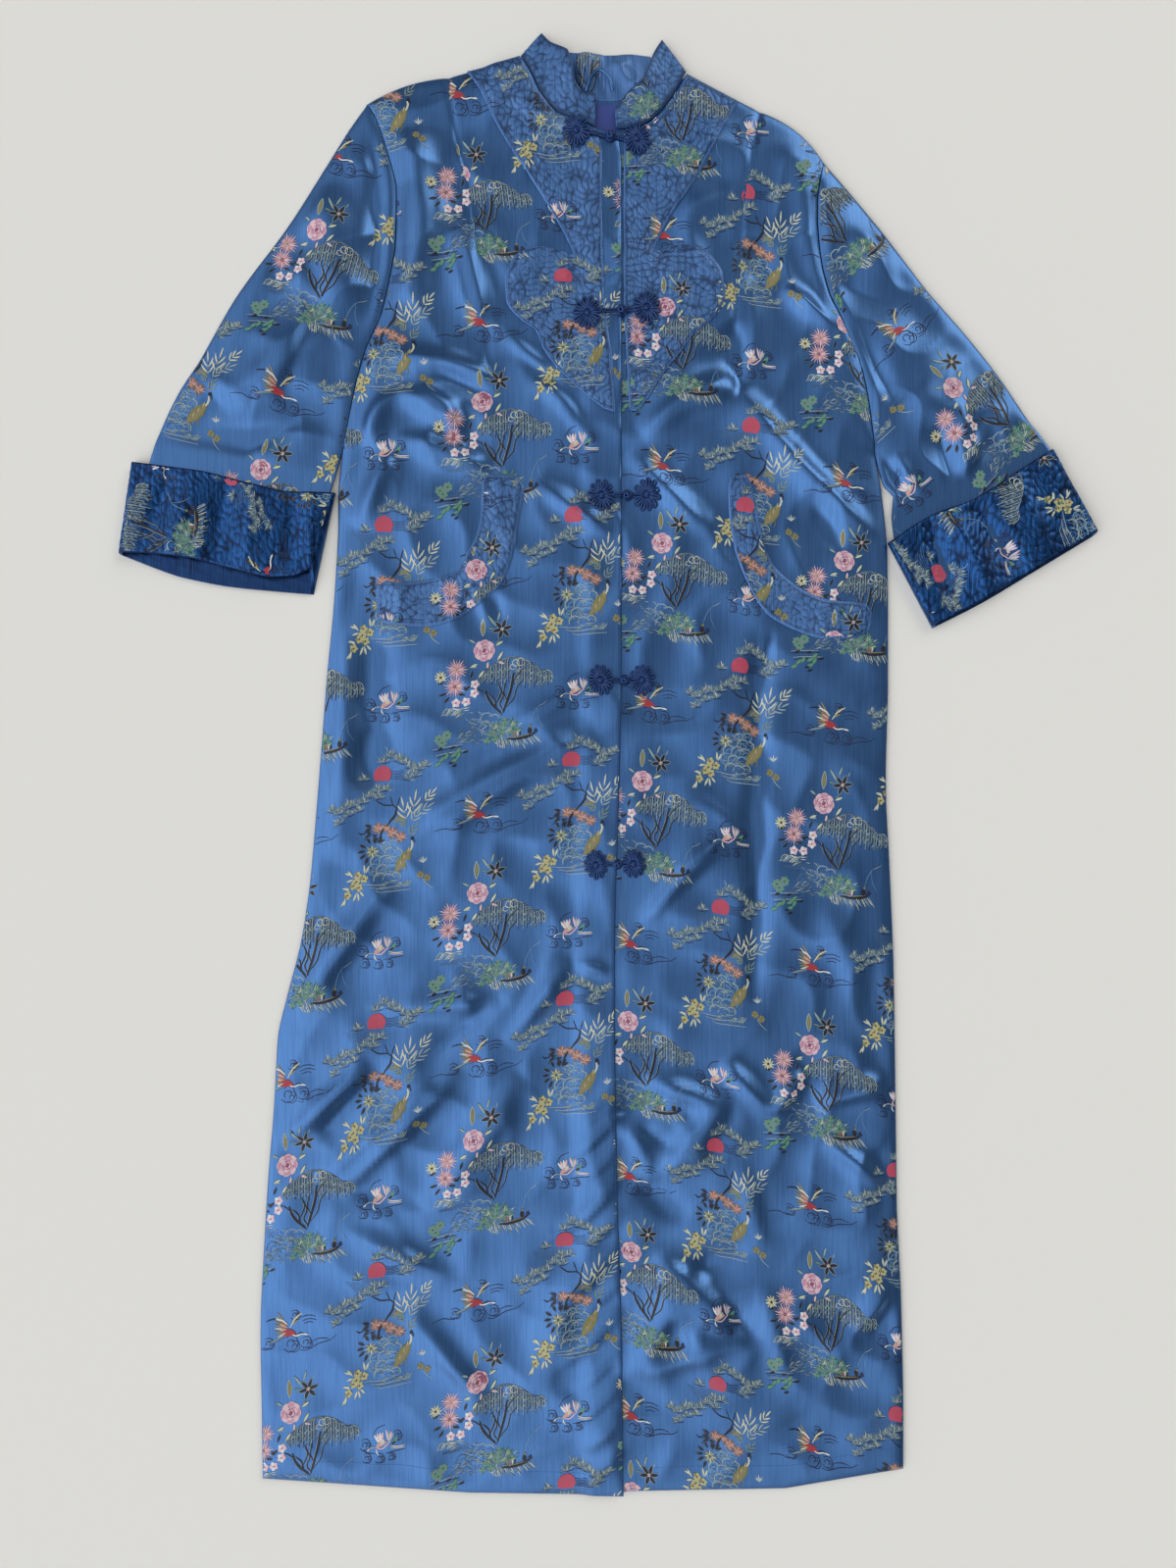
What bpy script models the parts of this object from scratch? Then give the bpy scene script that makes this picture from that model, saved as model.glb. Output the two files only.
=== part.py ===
"""A full-length Chinese robe of blue satin brocade, laid flat with its front up.

Left and right are the wearer's: the right front and the right sleeve lie at -X, the left ones at +X,
and the collar points to +Y. The back lies flat on the ground. The two fronts lie on it, each with a long
dart from the shoulder to the chest, and the right front laps over the left one.
The sleeves are flattened tubes in deep turned-back cuffs. Quilted yokes, quilted crescent bands at the
pocket mouths, a stand collar and five pairs of cord flower frogs lie on top.

Lengths in the tables are millimetres from the middle of the robe. The meshes are in metres.
"""

import math

import bmesh
import bpy
import numpy as np
from mathutils import Vector
from mathutils.bvhtree import BVHTree

MM = 0.001

# Walls and gaps
SATIN = 1.4
QUILTED = 1.8
CUFF_WALL = 1.8
LINING = 1.0
GAP = 0.3
SEAM_GAP = 0.35

# How the cloth lies
BACK_TOP = SATIN
EDGE_TOP = 3.4
PLATEAU_RISE = 5.0
ROLL = 14.0
LOWEST_FRONT = BACK_TOP + GAP + SATIN + 0.1
RIGHT_ARMHOLE_TOP = 3.9
LEFT_ARMHOLE_TOP = 6.2
NECK_TOP = 5.2
SHOULDER_TOP = 3.8
LAP_RISE = SATIN + GAP + 0.9
LAP_START = 42.0
LAP_END = 26.0
CUFF_FLOOR = CUFF_WALL + GAP
SLEEVE_END_HEIGHT = 3.3
CUFF_APPROACH = 32.0
CUFF_CLEAR = 18.0
CUFF_TOP = CUFF_FLOOR + SLEEVE_END_HEIGHT + GAP + CUFF_WALL
CUFF_CROWN = 2.5
CUFF_RIPPLE = 1.2
CUFF_RIPPLES = 3.2

# Mesh spacing
ROW_SPACING = 25.0
SIDE_SHARES = (0.0, 0.16, 0.37, 0.58, 0.79, 1.0)
CENTRE_SHARES = (0.0, 0.2, 0.4, 0.6, 0.76, 0.88, 1.0)
SLEEVE_ROWS = 12
YOKE_COLUMNS = 8
YOKE_SPACING = 15.0
BAND_COLUMNS = 4
BAND_SPACING = 15.0
CUFF_COLUMNS = 17
CUFF_UNDER_COLUMNS = 5
CUFF_ROWS = 7
COLLAR_COLUMNS_ACROSS = 4
SEAT_REACH = 8.0

# Quilting: the puckers left in the cloth between its wandering stitch lines
PUCKER = 0.5
PUCKER_LENGTH = 21.0

# Each front, a row for each section from the shoulder to the hem.
# side: on the armhole and then the side seam. dart: on the long dart, and on the crease that runs down from
# it. edge: on the neck and then the front edge. bow: how far the row bulges outwards beside the dart.
# Columns: side_x, side_y, dart_x, dart_y, edge_x, edge_y, bow
RIGHT_FRONT = (
    (-220, 604, -146, 628, -81, 647, 5),
    (-211, 587, -145, 615, -72, 633, 3),
    (-203, 563, -142, 593, -64, 616, 1),
    (-197, 542, -138, 572, -47, 595, 0),
    (-194, 529, -133, 555, -29, 588, 0),
    (-194, 515, -129, 542, -12, 581, 0),
    (-194, 500, -126, 526, 9, 571, 0),
    (-195, 473, -122, 497, 12, 545, 0),
    (-199, 450, -119, 464, 12, 491, 0),
    (-207, 415, -112, 419, 12, 432, 0),
    (-222, 380, -110, 380, 12, 387, 0),
    (-230, 353, -108, 349, 12, 351, 0),
    (-243, 288, -104, 286, 12, 288, 0),
    (-247, 249, -104, 248, 12, 248, 0),
    (-247, 215, -104, 212, 12, 212, 0),
    (-251, 147, -104, 144, 12, 144, 0),
    (-257, 84, -106, 81, 12, 81, 0),
    (-265, -18, -110, -18, 10, -18, 0),
    (-273, -110, -113, -110, 7, -110, 0),
    (-281, -162, -113, -162, 6, -162, 0),
    (-294, -213, -115, -213, 6, -213, 0),
    (-302, -248, -116, -248, 6, -248, 0),
    (-306, -316, -118, -316, 7, -316, 0),
    (-311, -378, -120, -378, 8, -378, 0),
    (-315, -445, -122, -445, 10, -445, 0),
    (-318, -512, -123, -512, 12, -512, 0),
    (-317, -585, -125, -589, 13, -590, 0),
    (-316, -653, -127, -666, 14, -668, 0),
)
# Columns: side_x, side_y, dart_x, dart_y, edge_x, edge_y, bow
LEFT_FRONT = (
    (197, 550, 138, 597, 72, 632, 7),
    (193, 531, 135, 579, 63, 617, 4),
    (191, 514, 131, 560, 53, 603, 1),
    (191, 497, 128, 542, 40, 589, 0),
    (192, 481, 125, 525, 25, 581, 0),
    (193, 470, 123, 508, 7, 580, 0),
    (196, 452, 121, 490, 0, 567, 0),
    (202, 430, 120, 470, -4, 540, 0),
    (210, 414, 118, 439, -4, 491, 0),
    (218, 397, 116, 410, -4, 432, 0),
    (231, 364, 117, 371, -4, 378, 0),
    (238, 330, 118, 335, -4, 338, 0),
    (244, 284, 114, 286, -4, 288, 0),
    (250, 248, 114, 249, -4, 252, 0),
    (255, 198, 122, 198, -4, 198, 0),
    (256, 144, 128, 144, -4, 144, 0),
    (256, 72, 135, 72, -5, 72, 0),
    (254, -18, 136, -18, -6, -18, 0),
    (257, -86, 136, -86, -8, -86, 0),
    (261, -180, 135, -180, -10, -180, 0),
    (262, -243, 136, -243, -10, -243, 0),
    (263, -315, 152, -315, -9, -315, 0),
    (264, -403, 160, -405, -7, -405, 0),
    (268, -490, 162, -490, -5, -490, 0),
    (270, -580, 162, -580, -4, -580, 0),
    (270, -644, 162, -662, -2, -665, 0),
)
UNDERARM_Y = 288
DART_END_Y = 330
DART_DEPTH = 0.9
NECK_CORNER_Y = 578

# The back's neck beyond the ends of the collar that is sewn to it
BACK_NECK_LEFT = (60, 623)
BACK_NECK_RIGHT = (-70, 638)

# Sleeves: the outer fold and the inner fold from the armhole down, and the end inside the cuff
RIGHT_SLEEVE_OUTER = (
    (-220, 604), (-237, 580), (-259, 545), (-294, 490), (-339, 429),
    (-374, 368), (-394, 337), (-411, 300), (-419, 274), (-427, 216),
)
RIGHT_SLEEVE_INNER = ((-243, 288), (-249, 265), (-256, 245), (-278, 184))
RIGHT_SLEEVE_END = ((-427, 216), (-370, 209), (-325, 199), (-300, 191), (-278, 184))
LEFT_SLEEVE_OUTER = (
    (197, 550), (218, 526), (248, 490), (294, 430), (328, 391),
    (357, 354), (384, 314), (403, 288), (433, 227),
)
LEFT_SLEEVE_INNER = ((244, 284), (252, 256), (262, 244), (259, 228), (262, 203), (291, 148))
LEFT_SLEEVE_END = ((433, 227), (401, 210), (364, 189), (330, 165), (291, 148))

# Cuffs: the turned edge up the sleeve, then the mouth of the upper and of the lower layer, from the outer
# fold to the inner one
RIGHT_CUFF_TURN = ((-434, 276), (-370, 267), (-325, 256), (-295, 249), (-250, 248))
RIGHT_CUFF_UPPER_MOUTH = (
    (-446, 194), (-422, 193), (-380, 188), (-348, 180), (-310, 171), (-287, 172), (-270, 179),
)
RIGHT_CUFF_LOWER_MOUTH = ((-446, 192), (-392, 172), (-346, 163), (-284, 157), (-270, 156))
LEFT_CUFF_TURN = ((405, 288), (369, 265), (333, 242), (292, 226), (256, 203))
LEFT_CUFF_UPPER_MOUTH = ((446, 213), (392, 181), (342, 151), (297, 127))
LEFT_CUFF_LOWER_MOUTH = ((445, 210), (392, 178), (342, 148), (297, 125))

# Yokes, a row for each section from the shoulder to the point below the chest. inner: on the neck and then
# beside the front edge. outer: on the shaped edge, with its notch and its round lobe.
# Columns: inner_x, inner_y, outer_x, outer_y
RIGHT_YOKE = (
    (-81, 645, -129, 633),
    (-73, 632, -116, 613),
    (-63, 612, -105, 590),
    (-47, 593, -94, 571),
    (-29, 585, -83, 553),
    (-12, 578, -72, 536),
    (-6, 558, -60, 517),
    (-6, 531, -49, 499),
    (-6, 504, -39, 481),
    (-5, 478, -32, 462),
    (-4, 448, -57, 471),
    (-4, 432, -81, 467),
    (-3, 416, -94, 445),
    (-1, 400, -93, 422),
    (1, 387, -79, 405),
    (3, 374, -66, 395),
    (4, 358, -60, 380),
    (5, 342, -42, 356),
    (6, 328, -17, 333),
    (6, 320, -4, 323),
)
LEFT_YOKE = (
    (72, 630, 119, 605),
    (59, 606, 110, 590),
    (42, 588, 100, 569),
    (27, 580, 86, 544),
    (15, 577, 72, 522),
    (14, 549, 61, 506),
    (14, 513, 50, 488),
    (14, 483, 40, 464),
    (14, 446, 52, 472),
    (14, 434, 70, 475),
    (14, 421, 90, 467),
    (15, 409, 104, 447),
    (15, 398, 106, 425),
    (16, 387, 94, 405),
    (16, 376, 78, 392),
    (17, 362, 66, 376),
    (18, 346, 51, 357),
    (19, 331, 35, 332),
    (19, 323, 26, 322),
)

# Quilted bands at the pocket mouths, a row for each section along the crescent.
# Columns: upper_x, upper_y, lower_x, lower_y
RIGHT_BAND = (
    (-109, 265, -85, 264),
    (-115, 258, -77, 252),
    (-116, 230, -82, 220),
    (-120, 209, -87, 190),
    (-129, 192, -98, 164),
    (-140, 176, -117, 147),
    (-158, 170, -140, 132),
    (-186, 166, -167, 126),
    (-203, 167, -203, 129),
    (-212, 161, -211, 137),
)
LEFT_BAND = (
    (126, 263, 115, 263),
    (131, 255, 109, 258),
    (135, 234, 110, 230),
    (141, 205, 115, 196),
    (150, 183, 128, 162),
    (166, 167, 144, 137),
    (183, 156, 169, 123),
    (200, 150, 194, 115),
    (223, 148, 221, 115),
    (234, 146, 230, 117),
    (241, 138, 239, 124),
)

# Stand collar, a row for each section. seam: where it is sewn to the neck. free: its upper edge.
# seam_z and free_z: how high its upper face stands there.
# Columns: seam_x, seam_y, seam_z, free_x, free_y, free_z
COLLAR_RIGHT = (
    (-80, 647, 5.6, -61, 668, 6.0),
    (-71, 632, 6.2, -53, 659, 8.0),
    (-63, 615, 6.6, -37, 650, 11.0),
    (-55, 604, 6.8, -32, 634, 13.0),
    (-46, 595, 6.8, -30, 621, 12.0),
    (-29, 588, 6.8, -23, 613, 9.5),
    (-12, 581, 7.0, -12, 612, 8.0),
)
COLLAR_LEFT = (
    (71, 633, 5.6, 49, 662, 6.0),
    (62, 617, 6.0, 42, 650, 8.0),
    (53, 604, 6.4, 36, 635, 10.5),
    (40, 590, 6.6, 30, 622, 11.5),
    (25, 582, 6.6, 20, 615, 9.5),
    (7, 581, 6.8, 6, 598, 8.0),
)
COLLAR_BACK = (
    (44, 613, 1.4, 39, 649, 1.4),
    (22, 609, 1.4, 20, 651, 1.4),
    (-5, 608, 1.4, -3, 650, 1.4),
    (-32, 611, 1.4, -35, 653, 1.4),
    (-54, 622, 1.4, -53, 656, 1.4),
)
COLLAR_SPACING = 12.0
COLLAR_REACH = 2.0

# The lining that shows inside the back of the neck
NECK_LINING = ((-36, 606), (-14, 604), (22, 605), (38, 600), (34, 566), (-22, 562), (-40, 580))

# Hanging loop of cord inside the back of the neck
LOOP_ROUTE = ((-20, 613), (-17, 624), (-8, 632), (1, 625), (4, 614))
LOOP_RADIUS = 1.6

# Frogs, a row for each pair from the neck down: the middles of the two cord flowers, their half widths, and
# how far along the way between the flowers the knot meets the loop
# Columns: right_x, right_y, left_x, left_y, half_width, meet
FROGS = (
    (-29, 575, 26, 569, 13.0, 0.56),
    (-19, 410, 35, 416, 13.5, 0.57),
    (-6, 245, 35, 246, 13.0, 0.56),
    (-7, 77, 31, 77, 12.5, 0.57),
    (-11, -91, 23, -90, 11.5, 0.56),
)
FROG_TALL = 1.18
FROG_PETALS = 12
FROG_HEIGHT = 4.0
FROG_CORD = 2.6

# Rings of a cord flower from its middle out: how far out, how high, and how far a groove draws it in
FLOWER_RINGS = ((0.30, 0.95, 0.0), (0.72, 1.0, 0.10), (1.0, 0.45, 0.14))
FLOWER_MIDDLE = 0.75
FLOWER_GROOVE = 0.28

# Stations of the double cord that ends in the ball knot, and of the one that ends in the loop: how wide and
# how thick it is there, in cords
KNOT_STATIONS = ((1.0, 1.0), (1.0, 1.0), (1.6, 1.7), (1.2, 1.2))
LOOP_STATIONS = ((1.0, 1.0), (1.1, 1.0), (1.5, 1.1), (1.1, 0.9))
LINK_SIDES = 6

# The largest folds: ridges, and troughs where height is negative. Each runs from start to end; before and
# after are its half widths on its left and its right hand, bow its sideways bend, crest 2 for a soft top
# and towards 1 for a sharp one.
# Columns: start_x, start_y, end_x, end_y, height, before, after, bow, crest
FOLDS = (
    # right sleeve
    (-216, 598, -220, 388, -5.0, 11, 9, 10, 1.8),
    (-262, 530, -244, 400, 6.0, 26, 20, 0, 2.0),
    (-356, 335, -258, 398, 7.5, 24, 16, -8, 1.8),
    (-410, 300, -280, 312, -5.0, 11, 11, -10, 1.8),
    (-322, 475, -290, 440, -3.0, 14, 14, 0, 2.0),
    # right chest and side
    (-180, 580, -178, 420, 7.0, 20, 22, 0, 2.0),
    (-138, 490, -112, 398, 5.0, 13, 16, 4, 1.6),
    (-196, 373, -98, 349, 5.5, 8, 10, 4, 1.5),
    (-171, 346, -130, 306, 5.0, 8, 10, 0, 1.5),
    (-162, 362, -104, 335, -3.0, 7, 7, 0, 1.6),
    (-221, 292, -196, 340, 6.0, 9, 11, 4, 1.6),
    (-200, 340, -128, 296, 6.0, 9, 9, 8, 1.5),
    (-199, 298, -108, 268, 4.5, 10, 12, 5, 1.7),
    (-200, 282, -226, 216, 6.0, 9, 12, 0, 1.7),
    (-68, 258, 4, 208, 4.0, 10, 8, 0, 1.6),
    (-212, 126, -212, -48, -4.0, 17, 15, 0, 2.0),
    (-242, 118, -248, -90, 3.5, 14, 12, 0, 2.0),
    (-204, -84, -14, 32, 8.0, 14, 20, 6, 1.6),
    (-96, 28, -14, 76, 5.0, 9, 12, 0, 1.5),
    # right skirt
    (-200, -108, -290, -232, 8.0, 12, 17, 0, 1.6),
    (-208, -222, -98, -216, 4.0, 10, 9, 0, 1.8),
    (-92, -254, -34, -178, 5.0, 10, 9, 0, 1.5),
    (-174, -276, -96, -210, -3.5, 9, 9, 0, 1.8),
    (-300, -347, -218, -272, 7.0, 9, 10, 0, 1.5),
    (-266, -344, -198, -272, -4.0, 8, 8, 0, 1.7),
    (-262, -378, -160, -290, 6.0, 9, 9, 0, 1.5),
    (-248, -393, -134, -278, 6.5, 8, 9, 0, 1.5),
    (-172, -402, -80, -284, 8.0, 14, 19, -6, 1.6),
    (-290, -392, -180, -390, -3.5, 13, 13, 0, 2.0),
    (-244, -422, -142, -468, 4.5, 9, 10, 0, 1.6),
    (-182, -498, -110, -584, 4.0, 10, 9, 0, 1.6),
    (-68, -578, -18, -430, 5.0, 17, 15, 0, 1.8),
    # left chest and side
    (172, 572, 194, 434, 5.0, 16, 18, 6, 2.0),
    (134, 486, 140, 438, -3.0, 13, 13, 0, 2.0),
    (160, 436, 208, 398, 5.0, 8, 9, 0, 1.5),
    (114, 404, 120, 340, -4.0, 8, 8, 0, 1.6),
    (120, 344, 246, 208, 7.0, 10, 16, -8, 1.5),
    (30, 300, 116, 354, 7.0, 13, 13, 4, 1.6),
    (18, 286, 92, 210, 5.0, 10, 9, 0, 1.6),
    (184, 250, 217, 192, -3.0, 8, 8, 0, 1.8),
    # left sleeve
    (208, 412, 262, 330, -4.5, 10, 10, 0, 1.7),
    (320, 330, 334, 258, 4.0, 8, 10, 0, 1.5),
    (276, 340, 330, 300, 3.5, 18, 18, 0, 2.0),
    (248, 282, 290, 226, -5.0, 8, 8, -5, 1.6),
    (258, 500, 232, 430, 3.5, 20, 20, 0, 2.0),
    # left skirt
    (136, 128, 134, -236, -5.0, 10, 8, 0, 1.6),
    (32, -147, 108, -60, 5.0, 7, 7, 3, 1.4),
    (48, -374, 114, -296, 7.0, 8, 13, 0, 1.4),
    (30, -284, 104, -311, 6.0, 9, 9, 0, 1.5),
    (104, -268, 150, -320, 6.0, 8, 8, 0, 1.4),
    (150, -320, 178, -278, 5.0, 8, 8, 0, 1.4),
    (188, -308, 254, -290, 6.0, 10, 9, 0, 1.6),
    (196, -340, 254, -384, 6.0, 9, 9, 0, 1.5),
    (26, -380, 74, -416, -4.0, 10, 10, 0, 1.8),
    (36, -456, 112, -516, 8.0, 22, 10, 0, 1.4),
    (20, -560, 74, -458, 6.0, 14, 13, 0, 1.6),
    (28, -554, 128, -520, 6.0, 13, 12, 0, 1.6),
    (226, -516, 256, -476, 5.0, 9, 9, 0, 1.6),
)
FOLD_EDGE_FADE = 13.0

COLOURS = {
    "satin": (0.045, 0.139, 0.434),
    "satin_dark": (0.009, 0.045, 0.223),
    "quilted": (0.023, 0.095, 0.330),
    "lining": (0.027, 0.045, 0.223),
    "cord": (0.006, 0.018, 0.091),
}


def smooth_rows(points, spacing):
    """More rows between those of a table, on a Catmull-Rom curve through every one of them."""
    points = np.asarray(points, float)
    padded = np.vstack([2 * points[0] - points[1], points, 2 * points[-1] - points[-2]])
    made = []
    for before, start, end, after in zip(padded, padded[1:], padded[2:], padded[3:]):
        length = max(np.linalg.norm((end - start)[k : k + 2]) for k in range(0, len(start) - 1, 2))
        steps = max(1, round(length / spacing))
        into = (end - before) / 2
        out = (after - start) / 2
        limit = 1.2 * np.abs(end - start)
        into = np.clip(into, -limit, limit)
        out = np.clip(out, -limit, limit)
        for step in range(steps):
            t = step / steps
            made.append(
                (2 * t**3 - 3 * t**2 + 1) * start
                + (t**3 - 2 * t**2 + t) * into
                + (3 * t**2 - 2 * t**3) * end
                + (t**3 - t**2) * out
            )
    made.append(points[-1])
    return np.array(made)


def along(points, count):
    """Evenly spaced points on a smooth curve through the given ones."""
    fine = smooth_rows(points, 2.0)
    steps = np.linalg.norm(np.diff(fine, axis=0), axis=1)
    way = np.concatenate([[0], np.cumsum(steps)])
    wanted = np.linspace(0, way[-1], count)
    return np.stack([np.interp(wanted, way, fine[:, k]) for k in range(fine.shape[1])], axis=1)


def ruled(starts, ends, shares, bow=None):
    """A grid of points with a row across from each start to its end, bulged by bow."""
    share = np.asarray(shares, float)[None, :, None]
    grid = starts[:, None] * (1 - share) + ends[:, None] * share
    if bow is not None:
        across = ends - starts
        upward = np.stack([-across[:, 1], across[:, 0]], axis=1)
        upward *= np.sign(upward[:, 1:2]) / np.linalg.norm(upward, axis=1, keepdims=True)
        grid += (bow[:, None] * upward)[:, None] * (4 * share * (1 - share))
    return grid


def coons(top, bottom, first, last):
    """A grid of points inside four border curves: top and bottom run across, first and last run down."""
    across = np.linspace(0, 1, len(top))[None, :, None]
    down = np.linspace(0, 1, len(first))[:, None, None]
    between_ends = (1 - down) * top[None] + down * bottom[None]
    between_sides = (1 - across) * first[:, None] + across * last[:, None]
    corners = (1 - down) * ((1 - across) * top[0] + across * top[-1]) + down * (
        (1 - across) * bottom[0] + across * bottom[-1]
    )
    return between_ends + between_sides - corners


def distances(x, y, line):
    """How far each point is from each stretch of a line."""
    start, end = line[:-1], line[1:]
    run = end - start
    length = np.maximum((run**2).sum(axis=1), 1e-9)
    from_x = x[..., None] - start[:, 0]
    from_y = y[..., None] - start[:, 1]
    foot = np.clip((from_x * run[:, 0] + from_y * run[:, 1]) / length, 0, 1)
    return np.hypot(from_x - foot * run[:, 0], from_y - foot * run[:, 1])


class Lie:
    """How high the upper layer of a piece lies: low at its edges, level inside, with the folds on it."""

    def __init__(self, *edges):
        """edges: pairs of a line and the height of the cloth along it."""
        self.edges = edges

    def __call__(self, x, y):
        level = np.full(x.shape, 1e9)
        nearest = np.full(x.shape, 1e9)
        for line, edge_height in self.edges:
            off = distances(x, y, line).min(axis=-1)
            level = np.minimum(level, edge_height + PLATEAU_RISE * (1 - np.exp(-off / ROLL)))
            nearest = np.minimum(nearest, off)
        fade = 1 - np.exp(-((nearest / FOLD_EDGE_FADE) ** 2))
        return np.maximum(level + fade * folds_at(x, y), LOWEST_FRONT)


def folds_at(x, y):
    """The height of all folds together at each point."""
    total = np.zeros(x.shape)
    for start_x, start_y, end_x, end_y, height, before, after, bow, crest in FOLDS:
        run = np.array([end_x - start_x, end_y - start_y], float)
        length = np.linalg.norm(run)
        run /= length
        reach = ((x - start_x) * run[0] + (y - start_y) * run[1]) / length
        aside = -(x - start_x) * run[1] + (y - start_y) * run[0]
        aside = aside - bow * 4 * reach * (1 - reach)
        width = np.where(aside > 0, before, after)
        inside = np.clip(reach, 0, 1)
        taper = np.sin(math.pi * inside) ** 0.8 * ((reach > 0) & (reach < 1))
        total += height * taper * np.exp(-(np.abs(aside / width) ** crest))
    return total


def quilting_at(x, y):
    """The puckers of quilted cloth, from waves that cross each other."""
    a = np.sin(2 * math.pi * (x + 0.35 * y) / PUCKER_LENGTH + 1.3 * np.sin(y / 9.0))
    b = np.sin(2 * math.pi * (y - 0.2 * x) / (0.83 * PUCKER_LENGTH) + 1.1 * np.sin(x / 7.0))
    return PUCKER * 0.5 * (a + b)


def material(name, colour, roughness):
    made = bpy.data.materials.new(name)
    made.use_nodes = True
    shader = made.node_tree.nodes["Principled BSDF"]
    shader.inputs["Base Color"].default_value = (*COLOURS[colour], 1)
    shader.inputs["Roughness"].default_value = roughness
    return made


def finish_object(name, points, faces, colour, roughness=0.45):
    """One named object from points in millimetres, shaded smooth, with its own material."""
    mesh = bpy.data.meshes.new(name)
    mesh.from_pydata([Vector(point) * MM for point in points], [], faces)
    mesh.validate()
    mesh.shade_smooth()
    mesh.set_sharp_from_angle(angle=math.radians(40))
    mesh.materials.append(material(name, colour, roughness))
    made = bpy.data.objects.new(name, mesh)
    bpy.context.scene.collection.objects.link(made)
    return made


def sheet_faces(rows, across):
    """Faces of a closed wall whose upper points come first, row by row, and then its lower points."""
    lower = rows * across
    faces = []
    for i in range(rows - 1):
        for j in range(across - 1):
            a = i * across + j
            quad = (a, a + 1, a + across + 1, a + across)
            faces.append(quad)
            faces.append(tuple(lower + k for k in reversed(quad)))
    rim = [j for j in range(across)]
    rim += [i * across + across - 1 for i in range(1, rows)]
    rim += [(rows - 1) * across + j for j in range(across - 2, -1, -1)]
    rim += [i * across for i in range(rows - 2, 0, -1)]
    for a, b in zip(rim, rim[1:] + rim[:1]):
        faces.append((b, a, lower + a, lower + b))
    return faces


def face_outwards(made):
    """Turns the faces of a closed mesh outwards, whichever way its grid ran."""
    grown = bmesh.new()
    grown.from_mesh(made.data)
    bmesh.ops.recalc_face_normals(grown, faces=grown.faces)
    if grown.calc_volume(signed=True) < 0:
        bmesh.ops.reverse_faces(grown, faces=grown.faces)
    grown.to_mesh(made.data)
    grown.free()
    return made


def wall(name, plan, upper, thickness, colour, lower=None):
    """A wall of cloth over a plan grid, with its upper face at the height given and its lower one under it."""
    rows, across = plan.shape[:2]
    bottom = upper - thickness if lower is None else lower
    points = [(*plan[i, j], upper[i, j]) for i in range(rows) for j in range(across)]
    points += [(*plan[i, j], bottom[i, j]) for i in range(rows) for j in range(across)]
    return face_outwards(finish_object(name, points, sheet_faces(rows, across), colour))


def flat_tube(name, upper_plan, lower_plan, top, floor, thickness, colour):
    """A flattened tube: its upper layer over one plan grid and its lower layer over another."""
    def shrunk(plan):
        """The plan of the tube's inside, narrower by the wall at both folds."""
        across = plan[:, -1] - plan[:, 0]
        unit = across / np.linalg.norm(across, axis=1, keepdims=True)
        share = np.linspace(1, -1, plan.shape[1])[None, :, None]
        return plan + unit[:, None] * share * thickness

    def ring(upper, lower, upper_z, lower_z):
        """Points right round the tube, over its upper layer and back under its lower one."""
        over = np.concatenate([upper, upper_z[..., None]], axis=2)
        under = np.concatenate([lower, lower_z[..., None]], axis=2)
        return np.concatenate([over, under[:, ::-1]], axis=1)

    upper_z = top(upper_plan)
    lower_z = floor(lower_plan)
    outer = ring(upper_plan, lower_plan, upper_z, lower_z)
    inner = ring(shrunk(upper_plan), shrunk(lower_plan), upper_z - thickness, lower_z + thickness)
    rows, around = outer.shape[:2]
    points = [tuple(p) for p in outer.reshape(-1, 3)] + [tuple(p) for p in inner.reshape(-1, 3)]
    inside = rows * around
    faces = []
    for i in range(rows - 1):
        for j in range(around):
            a, b = i * around + j, i * around + (j + 1) % around
            faces.append((a, b, b + around, a + around))
            faces.append((inside + a, inside + a + around, inside + b + around, inside + b))
    for i in (0, rows - 1):
        for j in range(around):
            a, b = i * around + j, i * around + (j + 1) % around
            faces.append((a, b, inside + b, inside + a))
    return face_outwards(finish_object(name, points, faces, colour))


def slab(name, outline, low, high, colour):
    """A flat piece with the outline given, between two heights."""
    count = len(outline)
    points = [(*p, high) for p in outline] + [(*p, low) for p in outline]
    faces = [tuple(range(count)), tuple(reversed(range(count, 2 * count)))]
    faces += [(k, count + k, count + (k + 1) % count, (k + 1) % count) for k in range(count)]
    return face_outwards(finish_object(name, points, faces, colour))


class Seat:
    """The top of pieces that are already made, for what lies on them."""

    def __init__(self, *pieces):
        self.trees = []
        for piece in pieces:
            piece.data.calc_loop_triangles()
            points = [vertex.co / MM for vertex in piece.data.vertices]
            faces = [tuple(face.vertices) for face in piece.data.loop_triangles]
            self.trees.append(BVHTree.FromPolygons(points, faces))

    def at(self, x, y, reach):
        """The highest point of the pieces within reach of a place."""
        highest = -1e9
        for turn in range(17):
            off = reach * (0.0, 0.5, 1.0)[(turn + 7) // 8]
            angle = turn * math.pi / 4
            spot = Vector((x + off * math.cos(angle), y + off * math.sin(angle), 100))
            for tree in self.trees:
                hit = tree.ray_cast(spot, Vector((0, 0, -1)))[0]
                if hit is not None:
                    highest = max(highest, hit.z)
        return highest

    def over(self, plan, reach):
        flat = plan.reshape(-1, 2)
        heights = np.array([self.at(x, y, reach) for x, y in flat])
        return heights.reshape(plan.shape[:-1])


def front_plan(table):
    """The plan grid of a front, with a column of points on its dart."""
    rows = smooth_rows(table, ROW_SPACING)
    side, dart, edge, bow = rows[:, 0:2], rows[:, 2:4], rows[:, 4:6], rows[:, 6]
    beside = ruled(side, dart, SIDE_SHARES, bow)
    before = ruled(dart, edge, CENTRE_SHARES)
    return np.concatenate([beside, before[:, 1:]], axis=1)


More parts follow.
